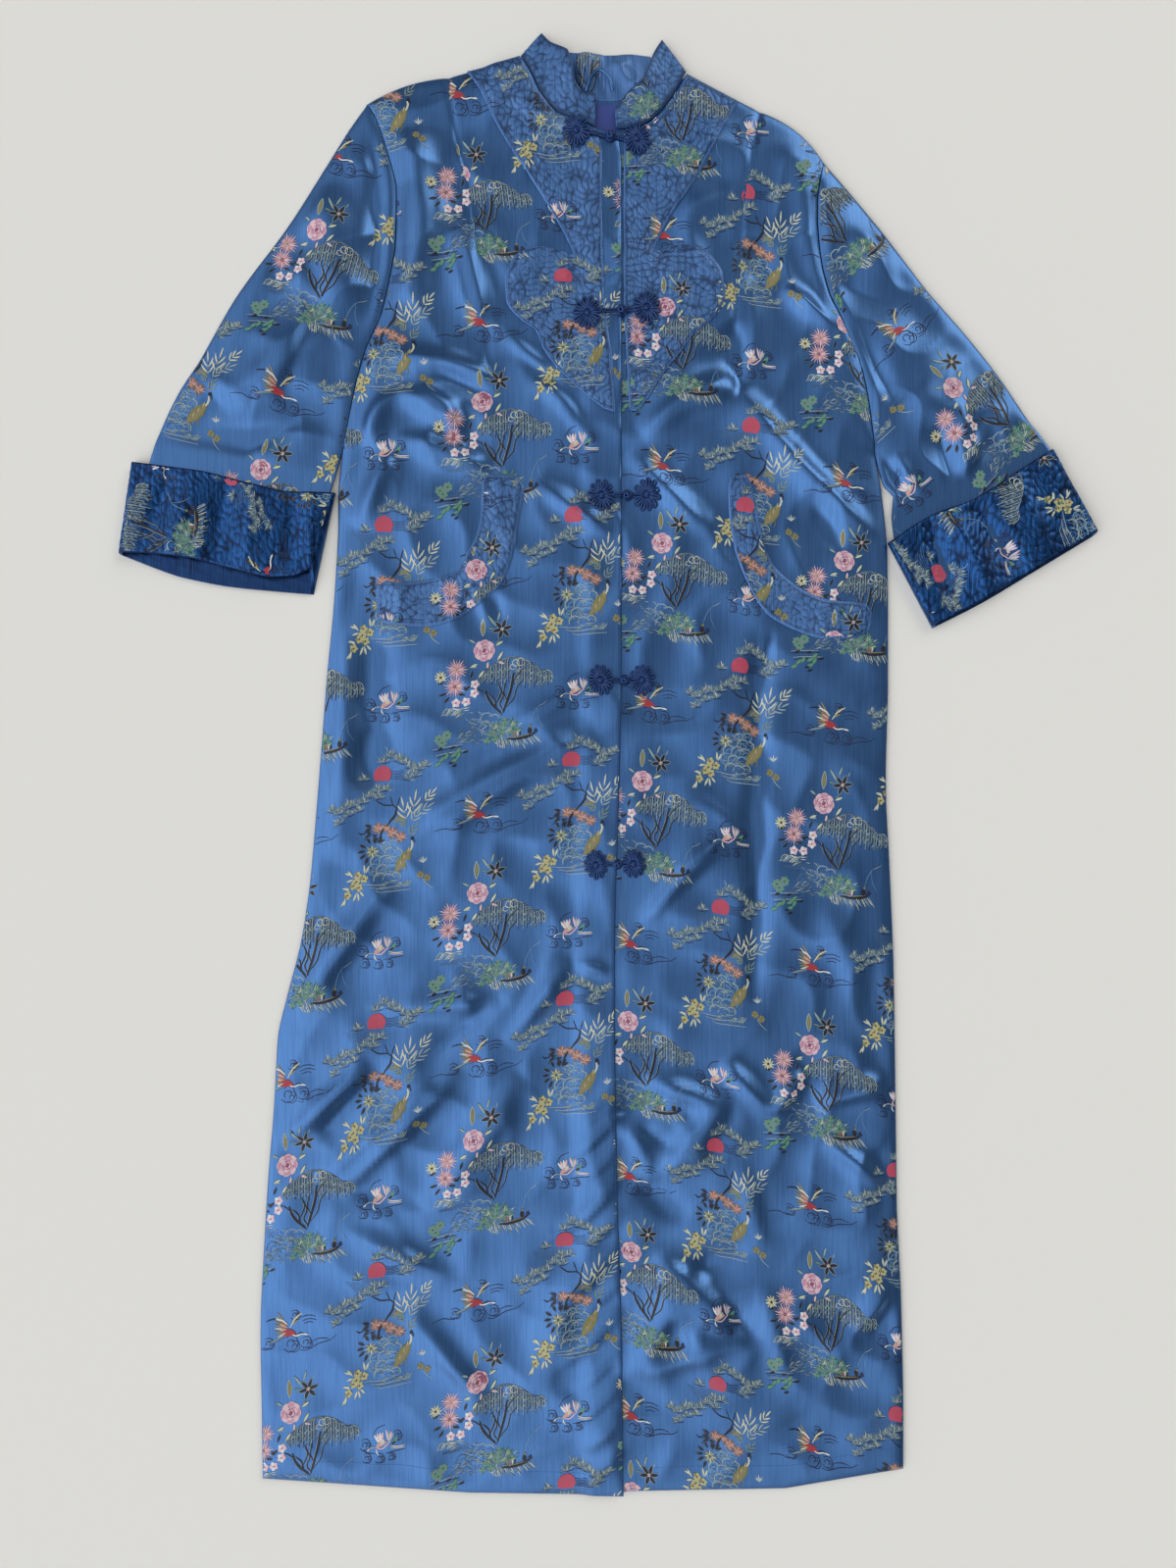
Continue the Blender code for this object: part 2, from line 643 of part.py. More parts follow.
def lap_at(x, y, edge):
    """How far the lapping front is lifted beside its front edge, by the front that lies under it."""
    edge_x = np.interp(-y, -edge[:, 1], edge[:, 0])
    into = np.clip((x - edge_x + LAP_START) / (LAP_START - LAP_END), 0, 1)
    return LAP_RISE * into * into * (3 - 2 * into)


def armhole(plan):
    """The points of the armhole on a front, from the shoulder to the underarm."""
    outer = plan[:, 0]
    return outer[: int(np.argmin(np.abs(outer[:, 1] - UNDERARM_Y))) + 1]


def make_front(name, plan, armhole_height, laps):
    """A front, from the armhole and the side seam to the front edge, with the groove of its dart."""
    arm = armhole(plan)
    edge = plan[:, -1]
    neck = edge[: 2 + int(np.argmin(np.abs(edge[:, 1] - NECK_CORNER_Y)))]
    lie = Lie(
        (arm, armhole_height),
        (plan[len(arm) - 1 :, 0], EDGE_TOP),
        (plan[-1], EDGE_TOP),
        (plan[0], SHOULDER_TOP),
        (neck, NECK_TOP),
    )
    x, y = plan[..., 0], plan[..., 1]
    top = lie(x, y)
    if laps:
        top = top + lap_at(x, y, edge)
    dart = len(SIDE_SHARES) - 1
    top[y[:, dart] > DART_END_Y, dart] -= DART_DEPTH
    return wall(name, plan, np.maximum(top, LOWEST_FRONT), SATIN, "satin")


def make_back(right_plan, left_plan):
    """The whole back, flat on the ground, under the fronts."""
    right_arm, left_arm = len(armhole(right_plan)), len(armhole(left_plan))
    outline = list(every_second(right_plan[:right_arm, 0])) + list(right_plan[right_arm:, 0])
    outline += list(right_plan[-1, 1:])
    outline += [p for p in left_plan[-1, ::-1] if p[0] > right_plan[-1, -1, 0] + 1]
    outline += list(left_plan[-2 : left_arm - 1 : -1, 0])
    outline += list(every_second(left_plan[:left_arm, 0])[::-1])
    outline += list(left_plan[0, 1:])
    outline.append(np.array(BACK_NECK_LEFT, float))
    outline += list(smooth_rows(COLLAR_BACK, COLLAR_SPACING)[:, 0:2])
    outline.append(np.array(BACK_NECK_RIGHT, float))
    outline += list(right_plan[0, -1:0:-1])
    return slab("back", outline, 0, BACK_TOP, "satin")


def every_second(points):
    """Every second point, with the first and the last one kept."""
    kept = list(range(0, len(points), 2))
    if kept[-1] != len(points) - 1:
        kept.append(len(points) - 1)
    return points[kept]


def into_cuff(grid, turn):
    """0 on the free sleeve, 1 where it lies inside the cuff, below the cuff's turned edge."""
    line = along(turn, 24)
    x, y = grid[..., 0], grid[..., 1]
    off = distances(x, y, line)
    nearest = off.argmin(axis=-1)
    start, run = line[:-1][nearest], np.diff(line, axis=0)[nearest]
    side = run[..., 0] * (y - start[..., 1]) - run[..., 1] * (x - start[..., 0])
    inward = off.min(axis=-1) * np.where(side * np.sign(line[-1, 0] - line[0, 0]) < 0, 1, -1)
    step = np.clip((inward + CUFF_APPROACH) / (CUFF_APPROACH - CUFF_CLEAR), 0, 1)
    return step * step * (3 - 2 * step)


def make_sleeve(name, front, outer, inner, end, turn, armhole_height, outward):
    """A sleeve: a flattened tube from the armhole into the cuff."""
    arm = armhole(front) + np.array([outward * SEAM_GAP, 0])
    outer_line = along(outer, SLEEVE_ROWS)
    inner_line = along(inner, SLEEVE_ROWS)
    outer_line[0], inner_line[0] = arm[0], arm[-1]

    def plan(points):
        last = along(end, len(points))
        return coons(points, last, outer_line, inner_line)

    under = every_second(arm)
    lie = Lie((arm, armhole_height), (outer_line, EDGE_TOP), (inner_line, EDGE_TOP))

    def top(grid):
        free = lie(grid[..., 0], grid[..., 1])
        tucked = into_cuff(grid, turn)
        return free * (1 - tucked) + (CUFF_FLOOR + SLEEVE_END_HEIGHT) * tucked

    def floor(grid):
        return CUFF_FLOOR * into_cuff(grid, turn)

    return flat_tube(name, plan(arm), plan(under), top, floor, SATIN, "satin")


def make_cuff(name, turn, upper_mouth, lower_mouth):
    """A deep quilted cuff: a flattened tube round the end of the sleeve, with puckers on its outside."""
    def plan(mouth, count):
        first = along((turn[0], mouth[0]), CUFF_ROWS)
        last = along((turn[-1], mouth[-1]), CUFF_ROWS)
        return coons(along(turn, count), along(mouth, count), first, last)

    def top(grid):
        share = np.linspace(0, 1, grid.shape[1])[None, :]
        crown = CUFF_CROWN * np.sin(math.pi * share) ** 0.5
        waves = np.sin(2 * math.pi * CUFF_RIPPLES * share + 0.6)
        ripple = CUFF_RIPPLE * waves * np.sin(math.pi * share)
        return CUFF_TOP + crown + ripple + quilting_at(grid[..., 0], grid[..., 1]) + PUCKER

    def floor(grid):
        return np.zeros(grid.shape[:2])

    return flat_tube(
        name,
        plan(upper_mouth, CUFF_COLUMNS),
        plan(lower_mouth, CUFF_UNDER_COLUMNS),
        top,
        floor,
        CUFF_WALL,
        "satin_dark",
    )


def make_quilted_piece(name, table, seat, across, spacing):
    """A quilted piece on the fronts: a plain underside and puckers on top, low along its edges."""
    rows = smooth_rows(table, spacing)
    shares = np.linspace(0, 1, across)
    plan = ruled(rows[:, 0:2], rows[:, 2:4], shares)
    lower = seat.over(plan, SEAT_REACH) + GAP
    down = np.linspace(0, 1, len(rows))[:, None]
    share = shares[None, :]
    inside = np.minimum(1, 9 * share * (1 - share)) * np.minimum(1, 40 * down * (1 - down))
    puckers = (quilting_at(plan[..., 0], plan[..., 1]) + PUCKER) * inside
    return wall(name, plan, lower + QUILTED + puckers, 0, "quilted", lower)


def make_collar_piece(name, table, seat):
    """One stretch of the stand collar, clear of what lies under it. The back one is level with the back."""
    rows = smooth_rows(table, COLLAR_SPACING)
    seam, free = rows[:, 0:2], rows[:, 3:5]
    if seat is None:
        seam = seam + np.array([0, SEAM_GAP])
    shares = np.linspace(0, 1, COLLAR_COLUMNS_ACROSS)
    plan = ruled(seam, free, shares)
    share = shares[None, :]
    upper = rows[:, 2:3] * (1 - share) + rows[:, 5:6] * share
    if seat is not None:
        clear = seat.over(plan, COLLAR_REACH) + GAP + SATIN
        upper = np.maximum(upper, clear)
    return wall(name, plan, upper, SATIN, "quilted")


def make_loop(seat):
    """The hanging loop, a cord that lies on the collar."""
    route = along(LOOP_ROUTE, 14)
    curve = bpy.data.curves.new("hanging_loop", "CURVE")
    curve.dimensions = "3D"
    curve.bevel_depth = LOOP_RADIUS * MM
    curve.bevel_resolution = 2
    curve.use_fill_caps = True
    spline = curve.splines.new("POLY")
    spline.points.add(len(route) - 1)
    for point, (x, y) in zip(spline.points, route):
        height = seat.at(x, y, LOOP_RADIUS) + GAP + LOOP_RADIUS
        point.co = (x * MM, y * MM, height * MM, 1)
    curve.materials.append(material("hanging_loop", "cord", 0.5))
    made = bpy.data.objects.new("hanging_loop", curve)
    bpy.context.scene.collection.objects.link(made)
    return made


def make_flower(name, x, y, half_width, seat):
    """A frog's flower: looped cord petals round a middle, each a ridge between two grooves."""
    around = 2 * FROG_PETALS
    spots = [(x, y)]
    heights = [FLOWER_MIDDLE * FROG_HEIGHT]
    for size, high, scallop in FLOWER_RINGS:
        for k in range(around):
            angle = 2 * math.pi * k / around
            groove = k % 2
            reach = half_width * size * (1 - scallop * groove)
            spots.append((x + reach * math.cos(angle), y + FROG_TALL * reach * math.sin(angle)))
            heights.append(FROG_HEIGHT * high * (1 - FLOWER_GROOVE * groove))
    bases = [seat.at(px, py, half_width * 0.7) + GAP for px, py in spots]
    rim = 1 + 2 * around
    points = [(px, py, base + high) for (px, py), base, high in zip(spots, bases, heights)]
    points.append((x, y, bases[0]))
    points += [(*spots[k], bases[k]) for k in range(rim, rim + around)]
    under = len(spots)
    faces = []
    for k in range(around):
        following = (k + 1) % around
        faces.append((0, 1 + k, 1 + following))
        faces.append((under, under + 1 + following, under + 1 + k))
        for ring in range(len(FLOWER_RINGS) - 1):
            a, b = 1 + ring * around + k, 1 + ring * around + following
            faces.append((a, a + around, b + around, b))
        faces.append((rim + k, under + 1 + k, under + 1 + following, rim + following))
    return face_outwards(finish_object(name, points, faces, "cord", 0.4))


def make_link(name, start_x, start_y, end_x, end_y, stations, seat):
    """The double cord from a flower to the middle, with its ball knot or its loop at the end."""
    start = Vector((start_x, start_y, 0))
    run = Vector((end_x, end_y, 0)) - start
    aside = Vector((-run.y, run.x, 0)).normalized()
    last = len(stations) - 1
    points = []
    for station, (wide, thick) in enumerate(stations):
        middle = start + run * (station / last)
        base = seat.at(middle.x, middle.y, FROG_CORD * 2.2) + GAP
        for k in range(LINK_SIDES):
            angle = 2 * math.pi * (k + 0.5) / LINK_SIDES
            spot = middle + aside * (FROG_CORD * wide * math.cos(angle))
            points.append((spot.x, spot.y, base + FROG_CORD * 0.75 * thick * (1 + math.sin(angle))))
    faces = [tuple(range(LINK_SIDES)), tuple(last * LINK_SIDES + k for k in reversed(range(LINK_SIDES)))]
    for station in range(last):
        for k in range(LINK_SIDES):
            a = station * LINK_SIDES + k
            b = station * LINK_SIDES + (k + 1) % LINK_SIDES
            faces.append((a, b, b + LINK_SIDES, a + LINK_SIDES))
    return face_outwards(finish_object(name, points, faces, "cord", 0.4))


def make_frogs(seat):
    """Five pairs of frogs: the flower and knot of the right front, the flower and loop of the left one."""
    for number, row in enumerate(FROGS, start=1):
        right = np.array(row[0:2], float)
        left = np.array(row[2:4], float)
        half_width, meet = row[4:6]
        make_flower(f"frog_{number}_right_flower", *right, half_width, seat)
        make_flower(f"frog_{number}_left_flower", *left, half_width, seat)
        apart = np.linalg.norm(left - right)
        unit = (left - right) / apart
        clear = half_width + GAP
        middle = right + unit * apart * meet
        knot_ends = (*(right + unit * clear), *(middle - unit * GAP / 2))
        loop_ends = (*(left - unit * clear), *(middle + unit * GAP / 2))
        make_link(f"frog_{number}_knot", *knot_ends, KNOT_STATIONS, seat)
        make_link(f"frog_{number}_loop", *loop_ends, LOOP_STATIONS, seat)


def main():
    for old in list(bpy.data.objects):
        bpy.data.objects.remove(old)

    right_plan = front_plan(RIGHT_FRONT)
    left_plan = front_plan(LEFT_FRONT)
    fronts = [
        make_front("right_front", right_plan, RIGHT_ARMHOLE_TOP, True),
        make_front("left_front", left_plan, LEFT_ARMHOLE_TOP, False),
    ]
    back = make_back(right_plan, left_plan)
    make_sleeve(
        "right_sleeve",
        right_plan,
        RIGHT_SLEEVE_OUTER,
        RIGHT_SLEEVE_INNER,
        RIGHT_SLEEVE_END,
        RIGHT_CUFF_TURN,
        RIGHT_ARMHOLE_TOP,
        -1,
    )
    make_sleeve(
        "left_sleeve",
        left_plan,
        LEFT_SLEEVE_OUTER,
        LEFT_SLEEVE_INNER,
        LEFT_SLEEVE_END,
        LEFT_CUFF_TURN,
        LEFT_ARMHOLE_TOP,
        1,
    )
    make_cuff("right_cuff", RIGHT_CUFF_TURN, RIGHT_CUFF_UPPER_MOUTH, RIGHT_CUFF_LOWER_MOUTH)
    make_cuff("left_cuff", LEFT_CUFF_TURN, LEFT_CUFF_UPPER_MOUTH, LEFT_CUFF_LOWER_MOUTH)

    lining = slab("neck_lining", NECK_LINING, BACK_TOP + GAP, BACK_TOP + GAP + LINING, "lining")
    on_fronts = Seat(*fronts)
    yokes = [
        make_quilted_piece("right_yoke", RIGHT_YOKE, on_fronts, YOKE_COLUMNS, YOKE_SPACING),
        make_quilted_piece("left_yoke", LEFT_YOKE, on_fronts, YOKE_COLUMNS, YOKE_SPACING),
    ]
    make_quilted_piece("right_pocket_band", RIGHT_BAND, on_fronts, BAND_COLUMNS, BAND_SPACING)
    make_quilted_piece("left_pocket_band", LEFT_BAND, on_fronts, BAND_COLUMNS, BAND_SPACING)
    collar_back = make_collar_piece("collar_back", COLLAR_BACK, None)
    under_collar = Seat(*fronts, *yokes, collar_back, back, lining)
    collars = [
        make_collar_piece("collar_right", COLLAR_RIGHT, under_collar),
        make_collar_piece("collar_left", COLLAR_LEFT, under_collar),
    ]
    make_loop(Seat(collar_back, back, lining))
    make_frogs(Seat(*fronts, *yokes, *collars, back, lining))


main()
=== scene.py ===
"""A full-length Chinese robe of blue satin brocade that lies flat with its front up: its looks.

Left and right are the wearer's. The right front and the right sleeve lie at -X, and the collar points to +Y.
Each piece of cloth is a thin shell on the form of its solid, with every crease laid in. The brocade's
flowers, trees, birds and boats are woven pieces of thread that lie on the cloth.

Lengths in the tables are millimetres from the middle of the robe. The meshes are in metres.
"""

import math

import bpy
import numpy as np
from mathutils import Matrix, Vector
from mathutils.bvhtree import BVHTree


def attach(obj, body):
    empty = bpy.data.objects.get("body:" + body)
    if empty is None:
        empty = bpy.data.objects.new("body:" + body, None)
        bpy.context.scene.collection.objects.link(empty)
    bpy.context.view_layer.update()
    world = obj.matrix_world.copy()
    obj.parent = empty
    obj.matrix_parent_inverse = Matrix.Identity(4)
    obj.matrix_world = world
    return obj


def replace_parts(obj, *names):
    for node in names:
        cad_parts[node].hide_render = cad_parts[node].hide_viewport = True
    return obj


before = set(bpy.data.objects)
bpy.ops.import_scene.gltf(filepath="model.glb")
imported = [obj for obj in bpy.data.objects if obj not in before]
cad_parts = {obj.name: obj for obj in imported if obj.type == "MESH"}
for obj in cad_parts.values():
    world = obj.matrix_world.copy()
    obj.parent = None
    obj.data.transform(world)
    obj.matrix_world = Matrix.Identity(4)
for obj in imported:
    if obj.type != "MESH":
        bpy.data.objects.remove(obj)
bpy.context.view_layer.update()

MM = 0.001

# Walls and gaps
SATIN = 1.4
QUILTED = 1.8
CUFF_WALL = 1.8
LINING = 1.0
GAP = 0.3
SEAM_GAP = 0.35

# How the cloth lies
BACK_TOP = SATIN
EDGE_TOP = 3.4
PLATEAU_RISE = 5.0
ROLL = 14.0
LOWEST_FRONT = BACK_TOP + GAP + SATIN + 0.1
RIGHT_ARMHOLE_TOP = 3.9
LEFT_ARMHOLE_TOP = 6.2
NECK_TOP = 5.2
SHOULDER_TOP = 3.8
LAP_RISE = SATIN + GAP + 0.9
LAP_START = 42.0
LAP_END = 26.0
CUFF_FLOOR = CUFF_WALL + GAP
SLEEVE_END_HEIGHT = 3.3
CUFF_APPROACH = 32.0
CUFF_CLEAR = 18.0
CUFF_TOP = CUFF_FLOOR + SLEEVE_END_HEIGHT + GAP + CUFF_WALL
CUFF_CROWN = 2.5
CUFF_RIPPLE = 1.2
CUFF_RIPPLES = 3.2
CUFF_RIPPLE_START = 0.6
CUFF_LIFT = 0.1
CUFF_UNDER_PUFF = 0.45

# Mesh spacing
ROW_SPACING = 25.0
SIDE_SHARES = (0.0, 0.16, 0.37, 0.58, 0.79, 1.0)
CENTRE_SHARES = (0.0, 0.2, 0.4, 0.6, 0.76, 0.88, 1.0)

# Each front, a row for each section from the shoulder to the hem.
# side: on the armhole and then the side seam. dart: on the long dart, and on the crease that runs down from
# it. edge: on the neck and then the front edge. bow: how far the row bulges outwards beside the dart.
# Columns: side_x, side_y, dart_x, dart_y, edge_x, edge_y, bow
RIGHT_FRONT = (
    (-220, 604, -146, 628, -81, 647, 5),
    (-211, 587, -145, 615, -72, 633, 3),
    (-203, 563, -142, 593, -64, 616, 1),
    (-197, 542, -138, 572, -47, 595, 0),
    (-194, 529, -133, 555, -29, 588, 0),
    (-194, 515, -129, 542, -12, 581, 0),
    (-194, 500, -126, 526, 9, 571, 0),
    (-195, 473, -122, 497, 12, 545, 0),
    (-199, 450, -119, 464, 12, 491, 0),
    (-207, 415, -112, 419, 12, 432, 0),
    (-222, 380, -110, 380, 12, 387, 0),
    (-230, 353, -108, 349, 12, 351, 0),
    (-243, 288, -104, 286, 12, 288, 0),
    (-247, 249, -104, 248, 12, 248, 0),
    (-247, 215, -104, 212, 12, 212, 0),
    (-251, 147, -104, 144, 12, 144, 0),
    (-257, 84, -106, 81, 12, 81, 0),
    (-265, -18, -110, -18, 10, -18, 0),
    (-273, -110, -113, -110, 7, -110, 0),
    (-281, -162, -113, -162, 6, -162, 0),
    (-294, -213, -115, -213, 6, -213, 0),
    (-302, -248, -116, -248, 6, -248, 0),
    (-306, -316, -118, -316, 7, -316, 0),
    (-311, -378, -120, -378, 8, -378, 0),
    (-315, -445, -122, -445, 10, -445, 0),
    (-318, -512, -123, -512, 12, -512, 0),
    (-317, -585, -125, -589, 13, -590, 0),
    (-316, -653, -127, -666, 14, -668, 0),
)
# Columns: side_x, side_y, dart_x, dart_y, edge_x, edge_y, bow
LEFT_FRONT = (
    (197, 550, 138, 597, 72, 632, 7),
    (193, 531, 135, 579, 63, 617, 4),
    (191, 514, 131, 560, 53, 603, 1),
    (191, 497, 128, 542, 40, 589, 0),
    (192, 481, 125, 525, 25, 581, 0),
    (193, 470, 123, 508, 7, 580, 0),
    (196, 452, 121, 490, 0, 567, 0),
    (202, 430, 120, 470, -4, 540, 0),
    (210, 414, 118, 439, -4, 491, 0),
    (218, 397, 116, 410, -4, 432, 0),
    (231, 364, 117, 371, -4, 378, 0),
    (238, 330, 118, 335, -4, 338, 0),
    (244, 284, 114, 286, -4, 288, 0),
    (250, 248, 114, 249, -4, 252, 0),
    (255, 198, 122, 198, -4, 198, 0),
    (256, 144, 128, 144, -4, 144, 0),
    (256, 72, 135, 72, -5, 72, 0),
    (254, -18, 136, -18, -6, -18, 0),
    (257, -86, 136, -86, -8, -86, 0),
    (261, -180, 135, -180, -10, -180, 0),
    (262, -243, 136, -243, -10, -243, 0),
    (263, -315, 152, -315, -9, -315, 0),
    (264, -403, 160, -405, -7, -405, 0),
    (268, -490, 162, -490, -5, -490, 0),
    (270, -580, 162, -580, -4, -580, 0),
    (270, -644, 162, -662, -2, -665, 0),
)
UNDERARM_Y = 288
DART_END_Y = 330
DART_DEPTH = 0.9
DART_HALF_WIDTH = 2.6
NECK_CORNER_Y = 578

# The back's neck beyond the ends of the collar that is sewn to it
BACK_NECK_LEFT = (60, 623)
BACK_NECK_RIGHT = (-70, 638)

# Sleeves: the outer fold and the inner fold from the armhole down, and the end inside the cuff
RIGHT_SLEEVE_OUTER = (
    (-220, 604), (-237, 580), (-259, 545), (-294, 490), (-339, 429),
    (-374, 368), (-394, 337), (-411, 300), (-419, 274), (-427, 216),
)
RIGHT_SLEEVE_INNER = ((-243, 288), (-249, 265), (-256, 245), (-278, 184))
RIGHT_SLEEVE_END = ((-427, 216), (-370, 209), (-325, 199), (-300, 191), (-278, 184))
LEFT_SLEEVE_OUTER = (
    (197, 550), (218, 526), (248, 490), (294, 430), (328, 391),
    (357, 354), (384, 314), (403, 288), (433, 227),
)
LEFT_SLEEVE_INNER = ((244, 284), (252, 256), (262, 244), (259, 228), (262, 203), (291, 148))
LEFT_SLEEVE_END = ((433, 227), (401, 210), (364, 189), (330, 165), (291, 148))

# Cuffs: the turned edge up the sleeve, then the mouth of the upper and of the lower layer, from the outer
# fold to the inner one
RIGHT_CUFF_TURN = ((-434, 276), (-370, 267), (-325, 256), (-295, 249), (-250, 248))
RIGHT_CUFF_UPPER_MOUTH = (
    (-446, 194), (-422, 193), (-380, 188), (-348, 180), (-310, 171), (-287, 172), (-270, 179),
)
RIGHT_CUFF_LOWER_MOUTH = ((-446, 192), (-392, 172), (-346, 163), (-284, 157), (-270, 156))
LEFT_CUFF_TURN = ((405, 288), (369, 265), (333, 242), (292, 226), (256, 203))
LEFT_CUFF_UPPER_MOUTH = ((446, 213), (392, 181), (342, 151), (297, 127))
LEFT_CUFF_LOWER_MOUTH = ((445, 210), (392, 178), (342, 148), (297, 125))

# Yokes, a row for each section from the shoulder to the point below the chest. inner: on the neck and then
# beside the front edge. outer: on the shaped edge, with its notch and its round lobe.
# Columns: inner_x, inner_y, outer_x, outer_y
RIGHT_YOKE = (
    (-81, 645, -129, 633),
    (-73, 632, -116, 613),
    (-63, 612, -105, 590),
    (-47, 593, -94, 571),
    (-29, 585, -83, 553),
    (-12, 578, -72, 536),
    (-6, 558, -60, 517),
    (-6, 531, -49, 499),
    (-6, 504, -39, 481),
    (-5, 478, -32, 462),
    (-4, 448, -57, 471),
    (-4, 432, -81, 467),
    (-3, 416, -94, 445),
    (-1, 400, -93, 422),
    (1, 387, -79, 405),
    (3, 374, -66, 395),
    (4, 358, -60, 380),
    (5, 342, -42, 356),
    (6, 328, -17, 333),
    (6, 320, -4, 323),
)
LEFT_YOKE = (
    (72, 630, 119, 605),
    (59, 606, 110, 590),
    (42, 588, 100, 569),
    (27, 580, 86, 544),
    (15, 577, 72, 522),
    (14, 549, 61, 506),
    (14, 513, 50, 488),
    (14, 483, 40, 464),
    (14, 446, 52, 472),
    (14, 434, 70, 475),
    (14, 421, 90, 467),
    (15, 409, 104, 447),
    (15, 398, 106, 425),
    (16, 387, 94, 405),
    (16, 376, 78, 392),
    (17, 362, 66, 376),
    (18, 346, 51, 357),
    (19, 331, 35, 332),
    (19, 323, 26, 322),
)

# Quilted bands at the pocket mouths, a row for each section along the crescent.
# Columns: upper_x, upper_y, lower_x, lower_y
RIGHT_BAND = (
    (-109, 265, -85, 264),
    (-115, 258, -77, 252),
    (-116, 230, -82, 220),
    (-120, 209, -87, 190),
    (-129, 192, -98, 164),
    (-140, 176, -117, 147),
    (-158, 170, -140, 132),
    (-186, 166, -167, 126),
    (-203, 167, -203, 129),
    (-212, 161, -211, 137),
)
LEFT_BAND = (
    (126, 263, 115, 263),
    (131, 255, 109, 258),
    (135, 234, 110, 230),
    (141, 205, 115, 196),
    (150, 183, 128, 162),
    (166, 167, 144, 137),
    (183, 156, 169, 123),
    (200, 150, 194, 115),
    (223, 148, 221, 115),
    (234, 146, 230, 117),
    (241, 138, 239, 124),
)

# Stand collar, a row for each section. seam: where it is sewn to the neck. free: its upper edge.
# seam_z and free_z: how high its upper face stands there.
# Columns: seam_x, seam_y, seam_z, free_x, free_y, free_z
COLLAR_RIGHT = (
    (-80, 647, 5.6, -61, 668, 6.0),
    (-71, 632, 6.2, -53, 659, 8.0),
    (-63, 615, 6.6, -37, 650, 11.0),
    (-55, 604, 6.8, -32, 634, 13.0),
    (-46, 595, 6.8, -30, 621, 12.0),
    (-29, 588, 6.8, -23, 613, 9.5),
    (-12, 581, 7.0, -12, 612, 8.0),
)
COLLAR_LEFT = (
    (71, 633, 5.6, 49, 662, 6.0),
    (62, 617, 6.0, 42, 650, 8.0),
    (53, 604, 6.4, 36, 635, 10.5),
    (40, 590, 6.6, 30, 622, 11.5),
    (25, 582, 6.6, 20, 615, 9.5),
    (7, 581, 6.8, 6, 598, 8.0),
)
COLLAR_BACK = (
    (44, 613, 1.4, 39, 649, 1.4),
    (22, 609, 1.4, 20, 651, 1.4),
    (-5, 608, 1.4, -3, 650, 1.4),
    (-32, 611, 1.4, -35, 653, 1.4),
    (-54, 622, 1.4, -53, 656, 1.4),
)
COLLAR_SPACING = 12.0
COLLAR_DEEPEST = -0.3

# The lining that shows inside the back of the neck
NECK_LINING = ((-36, 606), (-14, 604), (22, 605), (38, 600), (34, 566), (-22, 562), (-40, 580))

# Hanging loop of cord inside the back of the neck
LOOP_ROUTE = ((-20, 613), (-17, 624), (-8, 632), (1, 625), (4, 614))
LOOP_RADIUS = 1.6
LOOP_ENDS = (1.2, 0.8, 0.4, 0.1)

# Frogs, a row for each pair from the neck down: the middles of the two cord flowers, their half widths, and
# how far along the way between the flowers the knot meets the loop
# Columns: right_x, right_y, left_x, left_y, half_width, meet
FROGS = (
    (-29, 575, 26, 569, 13.0, 0.56),
    (-19, 410, 35, 416, 13.5, 0.57),
    (-6, 245, 35, 246, 13.0, 0.56),
    (-7, 77, 31, 77, 12.5, 0.57),
    (-11, -91, 23, -90, 11.5, 0.56),
)
FROG_TALL = 1.2

